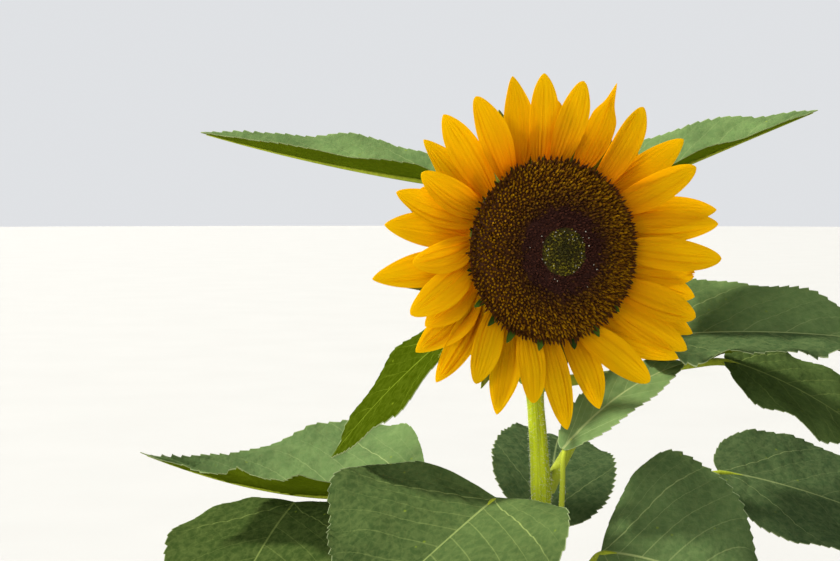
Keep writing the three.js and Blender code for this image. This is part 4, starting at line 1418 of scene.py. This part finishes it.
class SunflowerSizes(PropertyGroup):
    """Sizes of the fine parts of the plant."""

    leaf_thickness: length_property("Leaf Thickness", "Thickness of a leaf blade", 0.6)
    tooth_length: length_property("Tooth Length", "Spacing of the teeth along a leaf's edge", 6.4)
    tooth_depth: length_property("Tooth Depth", "Depth of the teeth of a leaf", 1.7)
    quilting: length_property("Quilting", "How far a leaf swells between its veins", 1.1)
    vein_height: length_property("Vein Height", "How far side veins stand out under a leaf", 0.5)
    petal_thickness: length_property("Petal Thickness", "Thickness of a petal", 0.55)
    groove_depth: length_property("Groove Depth", "Depth of the grooves along a petal", 0.7)
    bract_thickness: length_property("Bract Thickness", "Thickness of a bract", 0.9)
    floret_count: IntProperty(
        name="Florets", description="Florets on the disc", default=2900, min=200, max=4000
    )
    hair_thickness: length_property("Hair Thickness", "Radius of a hair at its foot", 0.085)


class SunflowerColours(PropertyGroup):
    """Colours of the plant."""

    leaf: colour_property("Leaf", "Top of a leaf", (0.185, 0.295, 0.098))
    leaf_dark: colour_property("Dark Leaf", "Shaded and older parts of a leaf's top", (0.035, 0.065, 0.026))
    leaf_light: colour_property("Leaf Light", "Light that passes through a leaf", (0.3, 0.42, 0.02))
    # Olive undersides: partly the underside's own colour, partly painted back-light
    underside: colour_property("Underside", "Underside of a leaf", (0.12, 0.165, 0.004))
    underside_dark: colour_property("Dark Underside", "Darker parts of the underside", (0.07, 0.095, 0.003))
    vein: colour_property("Vein", "Veins of a leaf", (0.36, 0.43, 0.17))
    # Painted back-light colour on a leaf's top, and the colour of light through a dark leaf
    backlit_olive: colour_property("Olive", "A leaf with light behind it", (0.036, 0.058, 0.001))
    # Veins of the underside, and painted back-light on the veins of the top
    underside_and_backlit_vein: colour_property("Olive Vein", "Veins of a leaf's underside", (0.2, 0.27, 0.02))
    freckle: colour_property("Freckle", "Small yellow freckles of a leaf", (0.26, 0.34, 0.02))
    rim: colour_property("Rim", "The dry pale rim of a leaf", (0.46, 0.53, 0.28))
    stalk: colour_property("Leaf Stalk", "Stalk and midrib of a leaf", (0.46, 0.52, 0.035))
    stem: colour_property("Stem", "Main stem", (0.5, 0.58, 0.012))
    stem_dark: colour_property("Dark Stem", "Darker stripes of the stem", (0.16, 0.21, 0.012))
    bract: colour_property("Bract", "Bracts behind the petals", (0.17, 0.23, 0.02))
    petal: colour_property("Petal", "Middle of a petal", (0.83, 0.53, 0.0004))
    # Pale colour of the petal tone: the petals' own paleness and painted light on the lower petals
    pale_and_lit_petal: colour_property("Pale Petal", "The paler petals low on the head", (0.98, 0.72, 0.0006))
    petal_tip: colour_property("Petal Tip", "Tip of a petal", (0.84, 0.64, 0.0006))
    petal_root: colour_property("Petal Root", "Root of a petal", (0.86, 0.31, 0.0004))
    # Painted shade along the grooves of a petal
    crease_shade: colour_property("Petal Crease", "Lines along a petal", (0.54, 0.19, 0.0003))
    petal_light: colour_property("Petal Light", "Light that passes through a petal", (0.96, 0.68, 0.0005))
    floret_low: colour_property("Floret Shade", "Darker open florets", (0.18, 0.07, 0.0014))
    floret_high: colour_property("Floret Light", "Paler open florets", (0.45, 0.23, 0.0024))
    stub_low: colour_property("Stub Shade", "Darker stubs of the open florets", (0.045, 0.014, 0.002))
    stub_high: colour_property("Stub Light", "Paler stubs of the open florets", (0.19, 0.068, 0.003))
    dark_low: colour_property("Dark Bud Shade", "Darker buds of the dark ring", (0.032, 0.011, 0.008))
    dark_high: colour_property("Dark Bud Light", "Paler buds of the dark ring", (0.078, 0.026, 0.015))
    bud_low: colour_property("Green Bud Shade", "Darker buds in the middle", (0.03, 0.028, 0.01))
    bud_high: colour_property("Green Bud Light", "Paler buds in the middle", (0.25, 0.205, 0.012))
    scale_low: colour_property("Scale Shade", "Darker scales round the disc", (0.012, 0.028, 0.003))
    scale_high: colour_property("Scale Light", "Paler scales round the disc", (0.07, 0.13, 0.01))
    speck_low: colour_property("Speck Shade", "Darker dry tips on the buds", (0.45, 0.42, 0.33))
    speck_high: colour_property("Speck Light", "Paler dry tips on the buds", (0.62, 0.6, 0.5))
    hair_low: colour_property("Hair Shade", "Darker hairs", (0.72, 0.74, 0.58))
    hair_high: colour_property("Hair Light", "Paler hairs", (0.85, 0.86, 0.76))
    floor_low: colour_property("Floor Shade", "Darker parts of the floor", (0.48, 0.48, 0.47))
    floor_high: colour_property("Floor Light", "Paler parts of the floor", (0.5, 0.5, 0.49))


class SUNFLOWER_OT_stem(Operator):
    """Grow the ribbed stem from its foot to the bent neck"""

    bl_idname = "sunflower.stem"
    bl_label = "Stem"

    def execute(self, context):
        thickness = context.scene.sunflower_sizes.hair_thickness / MM
        z = np.arange(0, STEM_TOP + 0.1, STEM_STEP)
        centre = stem_centre(z)
        stem_rings = self.stem_rings(z, centre)
        path, neck_radius = neck_path()
        twist = FURROW_SWAY * math.sin(STEM_TOP / FURROW_SWAY_LENGTH)
        furrows = FURROW_DEPTH * np.cos(STEM_FURROWS * angles_round(STEM_SIDES) + twist)
        radii = neck_radius[:, None] + furrows
        with_start = np.concatenate([stem_centre([STEM_TOP - STEM_STEP, STEM_TOP]), path])
        neck_rings = tube_rings(with_start, np.concatenate([radii[:2], radii]), np.array([1.0, 0.0, 0.0]))[2:]
        shape = Shape()
        loft(shape, np.concatenate([stem_rings, neck_rings]))
        rng = np.random.default_rng(STEM_SEED)
        share = rng.random(STEM_HAIRS) ** STEM_HAIR_POWER
        rows = (STEM_HAIR_START + (STEM_TOP - STEM_HAIR_START) * share) / STEM_STEP
        self.hairs(shape, stem_rings, centre, np.minimum(rows, len(z) - 2), thickness, rng)
        self.hairs(shape, neck_rings, path, rng.uniform(0, NECK_RINGS - 2, NECK_HAIRS), thickness, rng)
        place_piece(shape.piece("ribbed_stem", ["stem_skin", "plant_hair"]), "stem_green", "stem", "neck")
        return {"FINISHED"}

    def stem_rings(self, z, centre):
        """The rings of the stem, with its root flare, furrows and a swelling at the foot of each leaf."""
        z_grid, angle_grid = np.meshgrid(z, angles_round(STEM_SIDES), indexing="ij")
        radius = stem_radius(z_grid) + root_flare(z_grid, angle_grid)
        for leaf in all_leaves():
            turn = math.radians(leaf["stalk"][0])
            near = np.exp(-(((z_grid - leaf["height"]) / NODE_SWELLING_HEIGHT) ** 2))
            facing = np.clip(np.cos(angle_grid - turn), 0, 1) ** 3
            radius += NODE_SWELLING * near * (NODE_SWELLING_BACK + (1 - NODE_SWELLING_BACK) * facing)
        furrow = FURROW_DEPTH * (1 + FOOT_FURROW_GAIN * np.exp(-z_grid / FOOT_FURROW_HEIGHT))
        twist = FURROW_SWAY * np.sin(z_grid / FURROW_SWAY_LENGTH)
        radius += furrow * np.cos(STEM_FURROWS * angle_grid + twist)
        points = centre[:, None] + radius[..., None] * spokes(angle_grid)
        radius += STEM_UNEVENNESS * ripple(points, STEM_UNEVEN_LENGTH, STEM_RIPPLE_SEED)
        return centre[:, None] + radius[..., None] * spokes(angle_grid)

    def hairs(self, shape, rings, path, rows, thickness, rng):
        """Hairs that stand out from the rings of a tube at the given rows."""
        low = rows.astype(int)
        part = (rows - low)[:, None]
        columns = rng.integers(0, rings.shape[1], len(rows))
        bases = mix(rings[low, columns], rings[low + 1, columns], part)
        away = bases - mix(path[low], path[low + 1], part)
        lengths = STEM_HAIR_LENGTHS
        add_hairs(shape, bases, away, STEM_HAIR_SPREAD, lengths, thickness, rng, 1, droop=STEM_HAIR_DROOP)


class SUNFLOWER_OT_cup(Operator):
    """Grow the green cup behind the disc, and the bracts round it"""

    bl_idname = "sunflower.cup"
    bl_label = "Cup and Bracts"

    def execute(self, context):
        self.cup()
        sizes = context.scene.sunflower_sizes
        shape = Shape()
        index = 0
        for lean, length, width, turn in BRACT_ROWS:
            for place in range(BRACTS_IN_A_ROW):
                bearing = turn + place * 360 / BRACTS_IN_A_ROW
                ray = bract_numbers(index, bearing, lean, length, width)
                add_bract(shape, ray, sizes, index, tile_of(index, len(BRACT_ROWS) * BRACTS_IN_A_ROW))
                index += 1
        piece = shape.piece("hairy_bracts", ["bract_skin", "plant_hair"], mapped=True)
        place_piece(piece, "bract_green", "bracts")
        return {"FINISHED"}

    def cup(self):
        """The ribbed cup: a smoothed profile turned round the head's axis."""
        profile = np.array(CUP_PROFILE, float)
        run = np.concatenate([[0], np.cumsum(np.linalg.norm(np.diff(profile, axis=0), axis=1))])
        stations = np.linspace(0, run[-1], CUP_RINGS)
        kernel = np.array([1, 2, 3, 2, 1]) / 9
        columns = [np.interp(stations, run, column) for column in profile.T]
        for column in columns:
            column[2:-2] = np.convolve(column, kernel, "valid")
        radius, height = columns
        angle = angles_round(CUP_SIDES)
        fade = np.minimum(1, radius / CUP_RIB_RADIUS)[:, None]
        radii = radius[:, None] + CUP_RIB_DEPTH * np.cos(CUP_RIBS * angle)[None] * fade
        shape = Shape()
        loft(shape, on_head(radii[..., None] * spokes(angle) + height[:, None, None] * UP))
        place_piece(shape.piece("ribbed_cup", ["cup_skin"]), "bract_green", "receptacle")


def tile_of(index, total):
    """The share of the bake's picture that one petal or bract fills."""
    rows = math.ceil(total / TILE_COLUMNS)
    row, column = divmod(index, TILE_COLUMNS)
    left, right = column / TILE_COLUMNS + TILE_INSET, (column + 1) / TILE_COLUMNS - TILE_INSET
    return left, row / rows + TILE_INSET, right, (row + 1) / rows - TILE_INSET


class SUNFLOWER_OT_petals(Operator):
    """Grow the three layers of petals"""

    bl_idname = "sunflower.petals"
    bl_label = "Petals"

    def execute(self, context):
        sizes = context.scene.sunflower_sizes
        for layer, (node, *_) in enumerate(PETAL_LAYERS):
            chosen = [(index, petal) for index, petal in enumerate(PETALS) if petal[3] == layer]
            shape = Shape()
            for place, (index, petal) in enumerate(chosen):
                ray = petal_numbers(index, place, *petal)
                add_petal(shape, ray, sizes, index + 1, tile_of(place, len(chosen)))
            piece = shape.piece(node.replace("ray", "grooved"), ["petal_gold"], mapped=True)
            place_piece(piece, "petal_yellow", node)
        return {"FINISHED"}


class SUNFLOWER_OT_florets(Operator):
    """Set the florets of the disc in their spirals"""

    bl_idname = "sunflower.florets"
    bl_label = "Florets"

    def execute(self, context):
        count = context.scene.sunflower_sizes.floret_count
        rng = np.random.default_rng(FLORET_SEED)
        places = floret_places(count, BUTTON_RADIUS, FLORET_EDGE_SHARE * DISC_RADIUS)
        outer = places[0] + rng.normal(scale=RING_BLUR, size=len(places[0])) > DARK_RING_RADIUS
        self.middle(floret_places(MIDDLE_BUDS, 0, BUTTON_RADIUS), rng)
        self.dark_ring(chosen_of(places, ~outer), rng)
        self.open_florets(chosen_of(places, outer), rng)
        return {"FINISHED"}

    def bed(self, shape, inner, outer, slot):
        """The floor that the florets of one zone stand on."""
        inmost = max(inner, 0.01)
        steps = np.linspace(outer, inner, BED_STEPS)
        profile = [(inmost, DISC_BACK), (min(outer, DISC_RADIUS - DISC_UNDERCUT), DISC_BACK)]
        for radius, height in zip(steps, dome_height(steps) - FLORET_BED):
            profile.append((min(radius, DISC_RADIUS - BED_MARGIN), max(height, DISC_BACK + BED_LEAST)))
        profile[-1] = (inmost, profile[-1][1])
        rings = on_head(np.array([spokes(angles_round(BED_SIDES)) * r + UP * h for r, h in profile]))
        quads = band_quads(len(profile), BED_SIDES, closed=True)[2]
        triangles = np.concatenate([quads[:, :3], quads[:, [0, 2, 3]]])
        shape.add(rings.reshape(-1, 3), [(triangles, slot, None)], {"floret_tone": 0.2, "floret_shade": 0.5})

    def middle(self, places, rng):
        """The green middle: small closed buds, yellower toward their rim, with pale specks."""
        shape = Shape()
        self.bed(shape, 0, BUTTON_RADIUS, 0)
        radius = places[0]
        tone = rng.random(len(radius)) ** 2 * mix(0.35, 1.3, smooth((radius - 3) / 8))
        bud = spike_template(GREEN_BUD, BUD_SIDES)
        size = (rng.uniform(*GREEN_BUD_HEIGHTS, len(radius)), GREEN_BUD_WIDTH)
        add_florets(shape, bud, places, size, rng, 0, GREEN_BUD_LEAN, values={"floret_tone": tone})
        near_rim = rng.random(len(radius)) < PALE_SPECKS * smooth((radius - 6) / 5)
        self.specks(shape, chosen_of(places, near_rim), rng, SPECK_SINK)
        place_piece(shape.piece("green_buds", ["green_bud", "pale_tip"]), "floret_olive", "bud_florets")

    def specks(self, shape, places, rng, sink):
        """Pale dry tips that lie on some of the buds."""
        count = len(places[0])
        size = (rng.uniform(*SPECK_HEIGHTS, count), rng.uniform(*SPECK_WIDTHS, count))
        add_florets(shape, spike_template(SPECK, BUD_SIDES), places, size, rng, 1, 0.0, sink)

    def dark_ring(self, places, rng):
        """The dark ring of buds that are about to open."""
        shape = Shape()
        self.bed(shape, BUTTON_RADIUS, DARK_RING_RADIUS, 0)
        count = len(places[0])
        bud = spike_template(DARK_BUD, BUD_SIDES, FLORET_BEND)
        size = (rng.uniform(*DARK_BUD_HEIGHTS, count), DARK_BUD_WIDTH)
        add_florets(shape, bud, places, size, rng, 0, DARK_BUD_LEAN)
        self.specks(shape, chosen_of(places, rng.random(count) < DARK_SPECKS), rng, DARK_SPECK_SINK)
        place_piece(shape.piece("dark_buds", ["dark_bud", "pale_tip"]), "floret_dark", "dark_florets")

    def open_florets(self, places, rng):
        """The open florets: a tube each, with a dark stub that stands out of it."""
        shape = Shape()
        self.bed(shape, DARK_RING_RADIUS, DISC_RADIUS, 1)
        radius = places[0]
        count = len(radius)
        near_rim = smooth((radius - 40) / 9)
        blurred = radius + rng.normal(scale=SHADE_BLUR, size=count)
        open_share = smooth((blurred - SHADE_START) / (SHADE_END - SHADE_START))
        shade = {"floret_shade": 1 - open_share, "floret_tone": rng.random(count) ** 1.6}
        size = (rng.uniform(*TUBE_HEIGHTS, count), 1.0)
        tube = spike_template(TUBE, TUBE_SIDES)
        add_florets(shape, tube, places, size, rng, 0, TUBE_LEAN * near_rim, values=shade)
        stub = spike_template(STUB, STUB_SIDES, FLORET_BEND)
        size = (rng.uniform(*STUB_HEIGHTS, count) + 0.3 * near_rim, 1.0)
        add_florets(shape, stub, places, size, rng, 1, mix(*STUB_LEANS, near_rim), values=shade)
        rim = chosen_of(places, radius > RIM_START)
        count = len(rim[0])
        size = (rng.uniform(*RIM_STUB_HEIGHTS, count), RIM_STUB_WIDTH)
        dark = {"floret_tone": 0.4 * rng.random(count), "floret_shade": np.full(count, 0.3)}
        add_florets(shape, stub, rim, size, rng, 1, rng.uniform(*RIM_STUB_LEANS, count), RIM_STUB_SINK, dark)
        self.green_tips(shape, rng)
        finishes = ["floret_tube", "floret_stub", "scale_green"]
        place_piece(shape.piece("open_florets", finishes), "floret_brown", "rim_florets")

    def green_tips(self, shape, rng):
        """Pointed green scales that show between the disc and the petals."""
        for index in range(GREEN_TIPS):
            bearing = (index + rng.uniform(-0.3, 0.3)) * 360 / GREEN_TIPS
            low = max(0.0, -math.sin(math.radians(bearing)))
            length = mix(*GREEN_TIP_LENGTHS, low) + rng.uniform(0, GREEN_TIP_LENGTH_JITTER)
            ray = {
                "root": bearing, "tip": bearing, "lean": mix(*GREEN_TIP_LEANS, low), "level": GREEN_TIP_LEVEL,
                "reach": PETAL_ROOT_RADIUS + length,
                "width": mix(*GREEN_TIP_WIDTHS, low), "start": BRACT_START, "fullness": BRACT_FULLNESS,
                "arch": GREEN_TIP_ARCH, "cup": GREEN_TIP_CUP,
                "twist": rng.normal(scale=8), "curl": rng.uniform(-0.5, 1), "sweep": 0.0,
            }
            t, s = ray_grid(np.linspace(0, RAY_END, GREEN_TIP_ROWS), GREEN_TIP_COLUMNS)
            values = {"floret_tone": rng.random()}
            ray_sheet(shape, ray, t, s, half_width(t, ray), 0.0, GREEN_TIP_HALF_THICKNESS, 2, values)


class SUNFLOWER_OT_leaves(Operator):
    """Grow every leaf with its teeth, veins, stalk and midrib"""

    bl_idname = "sunflower.leaves"
    bl_label = "Leaves"

    def execute(self, context):
        sizes = context.scene.sunflower_sizes
        finishes = ["leaf_top", "leaf_underside", "leaf_stalk_skin", "plant_hair"]
        for index, leaf in enumerate(all_leaves()):
            shape = Shape()
            add_leaf(shape, leaf, sizes, LEAF_SEED + index)
            piece = shape.piece("toothed_" + leaf["name"], finishes, mapped=True)
            place_piece(piece, "leaf_green", leaf["name"])
        return {"FINISHED"}


class SUNFLOWER_OT_stage(Operator):
    """Set up the floor, the soft light and the camera"""

    bl_idname = "sunflower.stage"
    bl_label = "Stage"

    def execute(self, context):
        scene = context.scene
        self.floor(scene)
        self.room(scene)
        for light in LIGHTS:
            self.sun(scene, *light)
        data = bpy.data.cameras.new("photo_camera")
        data.lens = FOCAL_LENGTH
        data.sensor_width = SENSOR_WIDTH
        data.clip_start, data.clip_end = CAMERA_REACH
        camera = bpy.data.objects.new("photo_camera", data)
        camera.location = CAMERA_PLACE
        camera.rotation_euler = (math.radians(90 - CAMERA_PITCH), 0, 0)
        scene.collection.objects.link(camera)
        scene.camera = camera
        scene.view_settings.view_transform = "Standard"
        return {"FINISHED"}

    def floor(self, scene):
        """A wide round floor at ground level."""
        mesh = bpy.data.meshes.new("studio_floor")
        rim = spokes(angles_round(FLOOR_SIDES)) * FLOOR_RADIUS
        mesh.from_pydata(rim, [], [list(range(FLOOR_SIDES))])
        mesh.materials.append(material("pale_floor"))
        floor = bpy.data.objects.new("studio_floor", mesh)
        scene.collection.objects.link(floor)

    def room(self, scene):
        """The even light of the room, and its own shade where the camera sees it."""
        world = bpy.data.worlds.new("soft_room")
        world.use_nodes = True
        background = world.node_tree.nodes["Background"]
        nodes = Nodes(world.node_tree)
        nodes.join(ROOM_COLOUR, background.inputs["Color"])
        seen = nodes.add("LightPath").outputs["Is Camera Ray"]
        nodes.join(nodes.line(seen, 0.0, 1.0, ROOM_LIGHT, ROOM_SHADE), background.inputs["Strength"])
        scene.world = world

    def sun(self, scene, name, toward, strength, spread, colour):
        """A wide, even light that comes from the direction toward."""
        data = bpy.data.lights.new(name, "SUN")
        data.energy = strength
        data.angle = math.radians(spread)
        data.color = colour
        made = bpy.data.objects.new(name, data)
        made.location = HEAD_CENTRE * MM + np.array(toward) * LIGHT_DISTANCE
        flat = math.hypot(toward[0], toward[1])
        made.rotation_euler = (math.atan2(flat, toward[2]), 0, math.atan2(toward[0], -toward[1]))
        scene.collection.objects.link(made)


OPERATORS = (
    SUNFLOWER_OT_stem,
    SUNFLOWER_OT_cup,
    SUNFLOWER_OT_petals,
    SUNFLOWER_OT_florets,
    SUNFLOWER_OT_leaves,
    SUNFLOWER_OT_stage,
)


class SUNFLOWER_PT_panel(Panel):
    """The plant's sizes, colours and steps in the sidebar"""

    bl_idname = "SUNFLOWER_PT_panel"
    bl_label = "Garden Sunflower"
    bl_space_type = "VIEW_3D"
    bl_region_type = "UI"
    bl_category = "Sunflower"

    def draw(self, context):
        for group in (context.scene.sunflower_sizes, context.scene.sunflower_colours):
            for key in group.__annotations__:
                self.layout.prop(group, key)
        for operator in OPERATORS:
            self.layout.operator(operator.bl_idname)


CLASSES = (SunflowerSizes, SunflowerColours, *OPERATORS, SUNFLOWER_PT_panel)


def register():
    for cls in CLASSES:
        bpy.utils.register_class(cls)
    bpy.types.Scene.sunflower_sizes = PointerProperty(type=SunflowerSizes)
    bpy.types.Scene.sunflower_colours = PointerProperty(type=SunflowerColours)


def unregister():
    del bpy.types.Scene.sunflower_sizes
    del bpy.types.Scene.sunflower_colours
    for cls in reversed(CLASSES):
        bpy.utils.unregister_class(cls)


def main():
    register()
    bpy.ops.sunflower.stem()
    bpy.ops.sunflower.cup()
    bpy.ops.sunflower.petals()
    bpy.ops.sunflower.florets()
    bpy.ops.sunflower.leaves()
    bpy.ops.sunflower.stage()
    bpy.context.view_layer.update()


if __name__ == "__main__":
    main()
